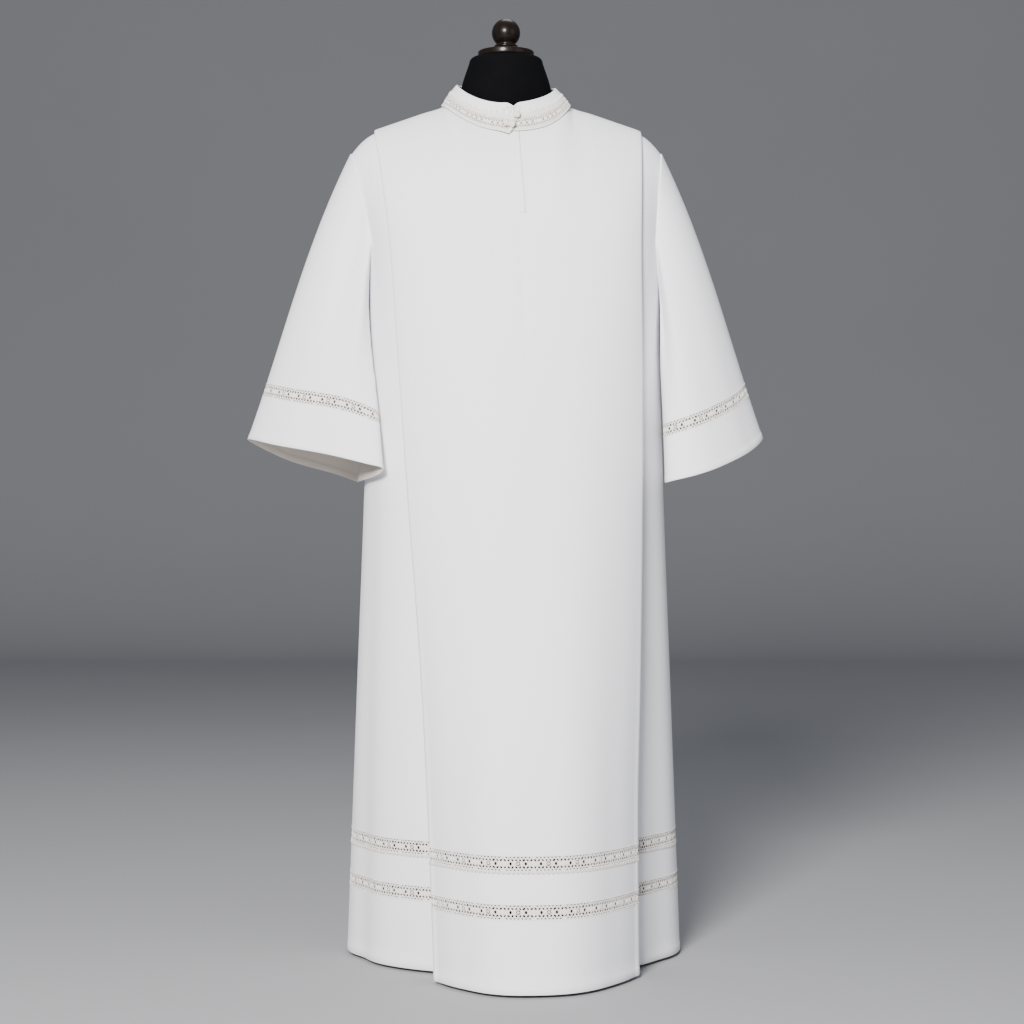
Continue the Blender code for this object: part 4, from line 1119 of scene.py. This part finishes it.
def laceStrip(name, band, picots=False, base=0.0, style=lace):
    rng = random.Random(lace["seed"])
    count = max(1, round(band.length / lace["repeat"]))
    length = band.length / count
    width = band.width
    tile, triangles, petals, stems = laceTile(length, width, rng, style)
    leftEnd, rightEnd = np.abs(tile[:, 0]) < 1e-7, np.abs(tile[:, 0] - length) < 1e-7
    heights = {round(v, 6): i for i, v in zip(np.flatnonzero(leftEnd), tile[leftEnd, 1])}
    share = {i: heights[round(tile[i, 1], 6)] for i in np.flatnonzero(rightEnd)}
    points, faces, index = [], [], None
    for k in range(count):
        # a repeat's left end uses the points of the one before it
        fresh = {}
        for i, (u, v) in enumerate(tile):
            if index is not None and leftEnd[i]:
                fresh[i] = next(index[j] for j in index if j in share and share[j] == i)
            else:
                fresh[i] = len(points)
                points.append((u + k * length, v))
        index = fresh
        faces += [tuple(index[i] for i in triangle) for triangle in triangles]
    places = np.array(points)
    surface = band.at(places[:, 0], places[:, 1], np.full(len(places), base))
    above = band.at(places[:, 0], places[:, 1], np.full(len(places), base + 0.001))
    normals = (above - surface) / 0.001
    a, b, c = (surface[[face[k] for face in faces]] for k in range(3))
    turned = np.sum(np.cross(b - a, c - a) * normals[[face[0] for face in faces]]) < 0
    ribbon = shell(name, surface, normals, flipped(faces, turned), lace["ribbon"], [finishes["laceGround"]])

    heap = Heap()
    top = base + lace["ribbon"] / 2
    for k in range(count):
        for u, v, angle, half, wide in petals:
            place = u + k * length
            if half < place < band.length - half:
                heap.add(*petalBody(band, place, v, angle, half, wide, top - 0.00015, lace["petal"]))
        for line in stems:
            curve = smoothCurve([(u + k * length, v, 0) for u, v in line], 3)
            heap.add(*tube(lineOn(band, curve[:, :2], top + lace["stem"] * 0.5), lace["stem"], 4))
        if not style["wheels"]:
            continue
        centre = np.array(((k + 0.5) * length, width / 2))
        reach = np.array(lace["wheel"]) * 1.12
        for spoke in range(3):
            angle = math.pi * spoke / 3 + 0.26
            way = np.array((math.cos(angle), math.sin(angle))) * reach
            line = np.linspace(centre - way, centre + way, 5)
            heap.add(*tube(lineOn(band, line, base), lace["stem"], 4))
        heap.add(*petalBody(band, *centre, 0.0, 0.0017, 0.0016, base - 0.0001, lace["petal"] + 0.0002))
        ring = np.arange(16) * 2 * math.pi / 16
        line = centre + np.stack((np.cos(ring), np.sin(ring)), axis=1) * reach
        heap.add(*tube(lineOn(band, line, top), lace["stem"], 4, closed=True))
    steps = np.linspace(0, band.length, max(40, int(band.length / 0.0028)))
    for v in (lace["cord"], width - lace["cord"]):
        line = np.stack((steps, np.full(len(steps), v)), axis=1)
        heap.add(*tube(lineOn(band, line, top + lace["cord"] * 0.4), lace["cord"], 6))
    if picots:
        loopHeap = Heap()
        wide, deep = lace["picot"]
        loops = round(band.length / wide)
        pitch = band.length / loops
        for k in range(loops):
            turn = np.linspace(0, math.pi, 9)
            line = np.stack(((k + 0.5 - 0.5 * np.cos(turn)) * pitch, lace["cord"] - deep * np.sin(turn)), axis=1)
            line[:, 0] = np.clip(line[:, 0], 0, band.length)
            loopHeap.add(*tube(lineOn(band, line, robe["wall"] / 2 + 0.0005), lace["stem"] * 1.3, 5))
            loopHeap.add(*petalBody(band, (k + 0.5) * pitch, lace["cord"] - deep * 0.45, math.pi / 2,
                                deep * 0.42, 0.0010, robe["wall"] / 2 + 0.0001, lace["petal"] * 0.8))
    parts = [heap.piece(name + "Work", [finishes["lace"]])]
    if picots:
        parts.append(loopHeap.piece(name + "Loops", [finishes["picot"]]))
    return joined(ribbon, *parts)


def joined(first, *others):
    bpy.ops.object.select_all(action="DESELECT")
    for piece in (first, *others):
        piece.select_set(True)
    bpy.context.view_layer.objects.active = first
    bpy.ops.object.join()
    return first


for face in (front, back):
    for row in ("lower", "upper"):
        low, high = robe[row + "Lace"]
        band = Band(*faceGrid(face, [bodySection(face, level) for level in np.linspace(low, high, 6)]))
        name = row + "Lace" + face["name"].capitalize()
        pieces[name] = laceStrip(name, band, picots=row == "upper")
        layOn(pieces[name], f"lace_{row}_{face['name']}", slot="lace")
        print(name, round(band.length, 3), "m,", len(pieces[name].data.polygons), "faces")

for side, sleeve in sleeveShapes.items():
    levels = sleeves["cuffHeight"] + np.linspace(0, sleeves["lace"], 6)
    rings = np.stack([sleeve.above(level) for level in levels])
    normals, turned = tubeNormals(rings)
    half = sleeves["around"] // 2
    for part, first in (("front", 0), ("back", half)):
        columns = np.arange(first, first + half + 1) % sleeves["around"]
        name = side + "SleeveLace" + part.capitalize()
        pieces[name] = laceStrip(name, Band(rings[:, columns], normals[:, columns]))
        layOn(pieces[name], f"sleeve_{side}_lace_{part}", slot="lace")

grid, normals = collarGrid(np.linspace(0.004, 0.9985, collar["columns"]), np.linspace(lowShare, highShare, 8))
collarStyle = {**lace, "wheels": False, "motifs": 5, "flower": 0.0019, "middle": 0.36, "reach": 0.34,
               "gap": (0.0020, 0.0013)}
pieces["collarLace"] = laceStrip("collarLace", Band(grid, normals), base=collar["laceOut"], style=collarStyle)
whole = Band(*collarGrid(np.linspace(0.004, 0.9985, collar["columns"]), np.linspace(0.0, 1.0, 12)))
rng = random.Random(lace["seed"] + 1)
places = [(u, whole.width * (highShare + rng.uniform(-0.04, 0.05)), rng.uniform(0.0030, 0.0044))
          for u in np.arange(0.006, whole.length - 0.005, collar["flowerEvery"])]
for u, share in collar["endFlowers"]:
    places += [(u, whole.width * share, 0.0040), (whole.length - u, whole.width * (share - 0.06), 0.0042)]
heap = Heap()
for u, v, size in places:
    for petal in flower((u, v), 5, size, rng.uniform(0, 1)):
        heap.add(*petalBody(whole, *petal, collar["laceOut"] - 0.0002, lace["petal"] + 0.0002))
pieces["collarLace"] = joined(pieces["collarLace"], heap.piece("collarFlowers", [finishes["lace"]]))
layOn(pieces["collarLace"], "collar_lace", slot="lace")
print("lace done")


# Placket, button and toggle at the neck

placket = {
    "steps": (0.155, 0.965),
    "width": 0.0115,
    "rows": 44,
    "columns": 9,
    "out": 0.0014,
    "underlap": 0.009,
    "underOut": -0.0016,
}

steps = np.linspace(*placket["steps"], placket["rows"])
frontRows = np.stack([yokeRow(front, step) for step in steps])
frontNormals = gridNormals(frontRows)


def strip(fromLeft, toRight, columns, out):
    # a strip laid along the neck slit: distances from its left edge, along the panel's own points
    rows = []
    for points, normals in zip(frontRows, frontNormals):
        marks = runningLength(points)
        marks = marks - marks[slitColumn]
        place = np.interp(np.linspace(fromLeft, toRight, columns), marks, np.arange(len(points)))
        rows.append(atPlace(points, place) + atPlace(normals, place) * out)
    return np.stack(rows)


def softStrip(name, grid, wall):
    normals = gridNormals(grid)
    rows, columns = grid.shape[:2]
    return shell(name, grid.reshape(-1, 3), normals.reshape(-1, 3), gridCells(rows, columns),
                 roundedRim(rows, columns, wall), [finishes["robe"]], cutLines(grid))


pieces["placket"] = softStrip("placketStrip", strip(-placket["width"], 0, placket["columns"], placket["out"]), 0.0012)
under = softStrip("placketUnder", strip(-placket["underlap"], placket["underlap"], 7, placket["underOut"]), 0.0009)
pieces["placket"] = joined(pieces["placket"], under)
layOn(pieces["placket"], "placket_strip")

button = {"turn": 0.0225, "share": 0.54, "radius": 0.0060, "dome": 0.0030, "stand": 0.0078}
toggle = {
    "turn": 0.9895,
    "share": 0.26,
    "half": 0.0092,
    "lobe": 0.0051,
    "flat": 0.62,
    "stand": 0.0054,
    "wrap": 0.0013,
    "cord": 0.0005,
    "tilt": 0.05,
}


def frameAt(turn, share, stand):
    # a place on the collar with its own across, up and out directions
    grid, normals = collarGrid(np.array((turn - 0.004, turn, turn + 0.004)),
                               np.array((share - 0.03, share, share + 0.03)))
    centre, out = grid[1, 1], normals[1, 1]
    up = grid[2, 1] - grid[0, 1]
    up -= out * np.dot(up, out)
    up /= np.linalg.norm(up)
    return centre + out * stand, np.cross(up, out), up, out


def coveredButton(name):
    # a domed cloth cover, gathered under the rim, on a short shank
    centre, across, up, out = frameAt(button["turn"], button["share"], button["stand"])
    radius, dome = button["radius"], button["dome"]
    profile = [(0.0, dome), (0.3, dome * 0.96), (0.6, dome * 0.78), (0.85, dome * 0.42), (0.97, dome * 0.1),
               (1.0, -0.0004), (0.93, -0.0011), (0.6, -0.0014), (0.28, -0.0016), (0.26, -0.0034), (0.0, -0.0034)]
    around = 40
    points = [centre + out * profile[0][1]]
    for share, level in profile[1:-1]:
        for k in range(around):
            angle = 2 * math.pi * k / around
            pucker = 1 + 0.012 * math.sin(12 * angle) * (share > 0.8)
            way = across * math.cos(angle) + up * math.sin(angle)
            points.append(centre + way * radius * share * pucker + out * level)
    points.append(centre + out * profile[-1][1])
    faces = [(0, 1 + k, 1 + (k + 1) % around) for k in range(around)]
    for r in range(len(profile) - 3):
        low, high = 1 + r * around, 1 + (r + 1) * around
        faces += [(low + k, high + k, high + (k + 1) % around, low + (k + 1) % around) for k in range(around)]
    last, low = len(points) - 1, 1 + (len(profile) - 3) * around
    faces += [(low + k, last, low + (k + 1) % around) for k in range(around)]
    return newPiece(name, points, faces, [finishes["button"]])


def toggleKnot(name):
    # a thick cloth knot of two lobes, drawn in at the middle, with a loop to the button
    centre, across, up, out = frameAt(toggle["turn"], toggle["share"], toggle["stand"])
    half, lobe, flat = toggle["half"], toggle["lobe"], toggle["flat"]
    heap = Heap()

    def place(x, y, z):
        return centre + across * x + up * (y + x * toggle["tilt"]) + out * z

    along = np.linspace(-1, 1, 34)
    bulge = np.sqrt(np.maximum(0.02, 1 - ((np.abs(along) - 0.5) / 0.5) ** 2))
    waist = 0.55 * np.sqrt(np.maximum(0.02, 1 - np.abs(along) ** 8))
    radius = lobe * np.maximum(bulge, waist) * (1 + 0.03 * np.sin(17 * along))
    heap.add(*tube([place(x * half, 0.0, 0.0) for x in along], radius, 20, flat=flat, up=out))
    turn = np.arange(26) * 2 * math.pi / 26
    for middle, lean, size in ((0.0, 0.0008, 0.62), (-0.0050, 0.0022, 1.0), (0.0048, -0.0020, 1.0)):
        # the cord's own turns round the waist and over each lobe
        ring = [place(middle + lean * math.sin(a), math.cos(a) * lobe * size,
                      math.sin(a) * lobe * size * flat) for a in turn]
        heap.add(*tube(ring, toggle["wrap"] * (1.1 if size < 1 else 0.55), 8, up=across, closed=True))
    loop = [(-0.0005, 0.0030, 0.0), (0.0030, 0.0072, 0.0004), (0.0062, 0.0098, -0.0010),
            (0.0082, 0.0100, -0.0022), (0.0072, 0.0075, -0.0014), (0.0040, 0.0045, -0.0004)]
    curve = smoothCurve([place(*p) for p in loop], 6, closed=True)[:-1]
    heap.add(*tube(curve, toggle["cord"], 8, up=out, closed=True))
    return heap.piece(name, [finishes["button"]])


pieces["button"] = layOn(coveredButton("collarButton"), "collar_button", slot="button_cloth")
pieces["toggle"] = layOn(toggleKnot("collarToggle"), "collar_toggle", slot="button_cloth")
print("neck fastening done")


# Sewing: short stitches along the seams and hems

sewing = {"every": 0.0032, "long": 0.0011, "wide": 0.00024, "high": 0.00016, "besideLace": 0.0014}


def sew(heap, line, normals):
    marks = runningLength(line)
    count = int(marks[-1] / sewing["every"])
    place = np.interp((np.arange(count) + 0.5) * marks[-1] / count, marks, np.arange(len(line)))
    centres, out = atPlace(line, place), atPlace(normals, place)
    ahead = atPlace(np.gradient(line, axis=0), place)
    ahead /= np.linalg.norm(ahead, axis=1, keepdims=True)
    side = np.cross(out, ahead)
    for centre, o, a, s in zip(centres, out, ahead, side):
        half = (a * sewing["long"], s * sewing["wide"], o * sewing["high"])
        points = [centre + way * sign for way in half for sign in (1, -1)]
        heap.add(points, [(0, 2, 4), (2, 1, 4), (1, 3, 4), (3, 0, 4), (2, 0, 5), (1, 2, 5), (3, 1, 5), (0, 3, 5)])


stitches = Heap()
lift = robe["wall"] / 2 + 0.00005
for face in (front, back):
    beside = sewing["besideLace"]
    levels = [robe["hem"] + robe["hemDepth"] + 0.0006]
    levels += [robe[row][end] + (beside if end else -beside)
               for row in ("lowerLace", "upperLace") for end in (0, 1)]
    for level in levels:
        grid, normals = faceGrid(face, [bodySection(face, level + step) for step in (-0.001, 0.0, 0.001)])
        sew(stitches, grid[1] + normals[1] * lift, normals[1])
for sleeve in sleeveShapes.values():
    for level in (sleeves["hemDepth"] + 0.0006, sleeves["cuffHeight"] - sewing["besideLace"],
                  sleeves["cuffHeight"] + sleeves["lace"] + sewing["besideLace"]):
        grid = np.stack([sleeve.above(level + step) for step in (0.001, 0.0, -0.001)])
        normals = tubeNormals(grid)[0][1]
        line = grid[1] + normals * lift
        sew(stitches, np.vstack((line, line[:1])), np.vstack((normals, normals[:1])))
for edge in (-placket["width"] + 0.0012, -0.0012):
    grid = strip(edge, edge + 0.0004, 2, placket["out"] + 0.00065)
    sew(stitches, grid[:, 0], frontNormals[:, slitColumn])
grid, normals = collarGrid(np.linspace(0.01, 0.99, 240), np.array((0.945, 0.95, 0.955)))
sew(stitches, grid[1] + normals[1] * (collar["wall"] / 2), normals[1])
pieces["stitches"] = stitches.piece("seamStitches", [finishes["thread"]])
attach(pieces["stitches"], "root")

# a cord along the collar's lower edge, where it is sewn to the neck
grid, normals = collarGrid(np.linspace(0.002, 0.998, 260), np.array((0.0, 0.015, 0.03)))
line = grid[0] + normals[0] * (collar["wall"] / 2 + 0.0002)
cord = newPiece("neckCord", *tube(line, collar["cordRadius"], 8), [finishes["lace"]])
# a thin dark cord just below it is a painted shadow line
line = grid[0] + normals[0] * (collar["wall"] / 2) - (0, 0, collar["cordRadius"] + collar["cordShade"] * 0.6)
shadowLineCord = newPiece("neckCordShadowLine", *tube(line, collar["cordShade"], 6), [finishes["shadow"]])
pieces["neckCord"] = joined(cord, shadowLineCord)
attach(pieces["neckCord"], "root")
print("sewing:", len(stitches.faces), "faces")


# Dress form: covered body, cap, turned finial, pole and foot

formRings = Sizes(
    ("halfWidth", "halfDepth", "squareness"),
    (
        (0.704, 0.158, 0.110, 2.0), (0.780, 0.170, 0.116, 2.0), (0.880, 0.160, 0.108, 2.0),
        (0.980, 0.152, 0.102, 2.0), (1.080, 0.166, 0.110, 2.1), (1.160, 0.174, 0.110, 2.1),
        (1.215, 0.174, 0.098, 2.0), (1.255, 0.169, 0.080, 1.7), (1.280, 0.160, 0.070, 1.4),
        (1.2970, 0.1500, 0.062, 1.2), (1.3037, 0.1310, 0.058, 1.2), (1.3075, 0.1080, 0.0575, 1.3),
        (1.318, 0.0820, 0.057, 1.7), (1.335, 0.0720, 0.057, 2.0), (1.352, 0.0680, 0.056, 2.0),
        (1.3850, 0.0570, 0.050, 2.0),
    ),
)
form = {"around": 96, "bottom": 0.700, "bottomInset": 0.008, "rim": 0.0090, "rimSteps": 7}


def formRing(height, inset=0.0):
    angle = np.arange(form["around"]) * 2 * math.pi / form["around"]
    across, ahead = np.cos(angle), np.sin(angle)
    power = 2 / formRings.at("squareness", height)
    x = (formRings.at("halfWidth", height) - inset) * np.sign(across) * np.abs(across) ** power
    y = (formRings.at("halfDepth", height) - inset) * np.sign(ahead) * np.abs(ahead) ** power
    return np.stack((x, y, np.full(len(x), height)), axis=1)


def stackedRings(name, rings, material):
    # closed skin over rings, with a middle point at each end
    around = len(rings[0])
    points = np.concatenate((*rings, [rings[0].mean(axis=0)], [rings[-1].mean(axis=0)]))
    faces = gridCells(len(rings), around, closed=True)
    low, high = len(rings) * around, len(rings) * around + 1
    last = (len(rings) - 1) * around
    faces += [(low, (k + 1) % around, k) for k in range(around)]
    faces += [(high, last + k, last + (k + 1) % around) for k in range(around)]
    piece = newPiece(name, points, faces, [material])
    piece.data.set_sharp_from_angle(angle=math.radians(55))
    return piece


heights = np.concatenate((np.linspace(0.704, 1.28, 40), np.linspace(1.285, 1.385, 40)))
rings = [formRing(0.704, form["bottomInset"]) + (0, 0, form["bottom"] - 0.704),
         formRing(0.704, 0.003) + (0, 0, -0.0028)]
rings += [formRing(height) for height in heights]
for k in range(1, form["rimSteps"] + 1):
    turn = math.pi / 2 * k / form["rimSteps"]
    inset = form["rim"] * (1 - math.cos(turn))
    rings.append(formRing(1.385, inset) + (0, 0, form["rim"] * math.sin(turn)))
pieces["form"] = layOn(stackedRings("formBody", rings, finishes["jersey"]), "form_body", slot="form_cloth")


def turned(name, profile, around, material):
    # a turned shape from its outline, top to bottom, as radius and height
    profile = np.array(profile)
    angle = np.arange(around) * 2 * math.pi / around
    rings = [np.stack((r * np.cos(angle), r * np.sin(angle), np.full(around, z)), axis=1)
             for r, z in profile[::-1] if r > 0]
    return stackedRings(name, rings, material)


def arc(centre, radius, start, end, steps):
    angle = np.radians(np.linspace(start, end, steps))
    return [(centre[0] + radius * math.cos(a), centre[1] + radius * math.sin(a)) for a in angle]


finialProfile = arc((0.0, 1.4325), 0.0220, 88, -48, 22)
finialProfile += arc((0.0178, 1.4150), 0.0032, 150, 218, 6)
finialProfile += arc((0.0165, 1.4113), 0.0021, 100, -80, 8)
finialProfile += [(0.0160, 1.4086), (0.0164, 1.4080), (0.0185, 1.4072), (0.0225, 1.4056),
                  (0.0262, 1.4044), (0.0280, 1.40375)]
capProfile = [(0.0405, 1.4034)] + arc((0.0417, 1.4017), 0.0017, 90, 0, 5)
capProfile += arc((0.0417, 1.3960), 0.0017, 0, -90, 5)
footProfile = [(0.016, 0.018), (0.030, 0.0180), (0.045, 0.0172), (0.085, 0.0140), (0.105, 0.0112), (0.114, 0.0095),
               (0.1185, 0.0072), (0.120, 0.0050), (0.120, 0.0008), (0.1192, 0.0)]
collarRing = arc((0.0140, 0.0215), 0.0035, 80, -60, 8)
pieces["finial"] = layOn(turned("formFinial", finialProfile, 72, finishes["wood"]), "form_finial", slot="turned_wood")
pieces["cap"] = layOn(turned("formCap", capProfile, 96, finishes["wood"]), "form_cap", slot="turned_wood")
pieces["foot"] = layOn(turned("formFoot", footProfile, 96, finishes["enamel"]), "form_foot", slot="stand_metal")
poleProfile = [(0.0122, 0.6997), (0.0125, 0.6993)] + [(0.0125, z) for z in np.linspace(0.68, 0.026, 12)]
poleProfile += collarRing + [(0.0150, 0.0183)]
pieces["pole"] = layOn(turned("formPole", poleProfile, 48, finishes["enamel"]), "form_pole", slot="stand_metal")
print("form done")


# Floor, light and camera

studio = {
    "floor": (0.34, 0.34, 0.35),
    "floorDepth": 6.5,
    "floorWidth": 12.0,
    "floorCurve": 1.6,
    "wallHeight": 9.0,
    "world": (0.76, 0.81, 0.92),
    "worldStrength": 0.32,
    "camera": (0.0, -3.3, 0.69),
    "focal": 2128.0,             # pixels on an image 1024 wide
    "axisColumn": 506.0,         # where the finial's axis lies in it
    "imageWidth": 1024.0,
}


def areaLight(name, place, aim, size, power, colour):
    light = bpy.data.lights.new(name, "AREA")
    light.shape, light.size, light.energy, light.color = "DISK", size, power, colour
    lamp = bpy.data.objects.new(name, light)
    lamp.location = place
    lamp.rotation_euler = (Vector(aim) - Vector(place)).to_track_quat("-Z", "Y").to_euler()
    bpy.context.scene.collection.objects.link(lamp)


def sweep():
    # a plain floor that curves up into a plain wall, far behind the robe
    depth, curve = studio["floorDepth"], studio["floorCurve"]
    turns = np.linspace(0.1, math.pi / 2, 16)
    profile = [(-depth, 0.0), (depth, 0.0)]
    profile += [(depth + curve * math.sin(a), curve * (1 - math.cos(a))) for a in turns]
    profile.append((depth + curve, studio["wallHeight"]))
    points = [(x, y, z) for y, z in profile for x in (-studio["floorWidth"], studio["floorWidth"])]
    faces = [(2 * k, 2 * k + 1, 2 * k + 3, 2 * k + 2) for k in range(len(profile) - 1)]
    floor = newPiece("studioFloor", points, faces, [floorFinish("paleFloor", studio["floor"])])


sweep()
areaLight("keyLight", (-0.9, -4.0, 2.3), (0.0, 0.0, 0.75), 1.3, 520.0, (1.0, 0.985, 0.97))
areaLight("fillLight", (3.0, -2.2, 1.6), (0.0, 0.0, 0.7), 2.6, 24.0, (0.90, 0.94, 1.0))
areaLight("topLight", (0.2, 1.2, 3.6), (0.0, 0.0, 0.9), 1.6, 26.0, (1.0, 1.0, 1.0))

world = bpy.data.worlds.new("studioWorld")
world.use_nodes = True
world.node_tree.nodes["Background"].inputs["Color"].default_value = (*studio["world"], 1.0)
world.node_tree.nodes["Background"].inputs["Strength"].default_value = studio["worldStrength"]
bpy.context.scene.world = world

lens = bpy.data.cameras.new("photoCamera")
lens.sensor_width = 36.0
lens.lens = studio["focal"] / studio["imageWidth"] * lens.sensor_width
lens.shift_x = (studio["imageWidth"] / 2 - studio["axisColumn"]) / studio["imageWidth"]
lens.clip_end = 50.0
camera = bpy.data.objects.new("photoCamera", lens)
camera.location = studio["camera"]
camera.rotation_euler = (math.pi / 2, 0.0, 0.0)
bpy.context.scene.collection.objects.link(camera)
bpy.context.scene.camera = camera
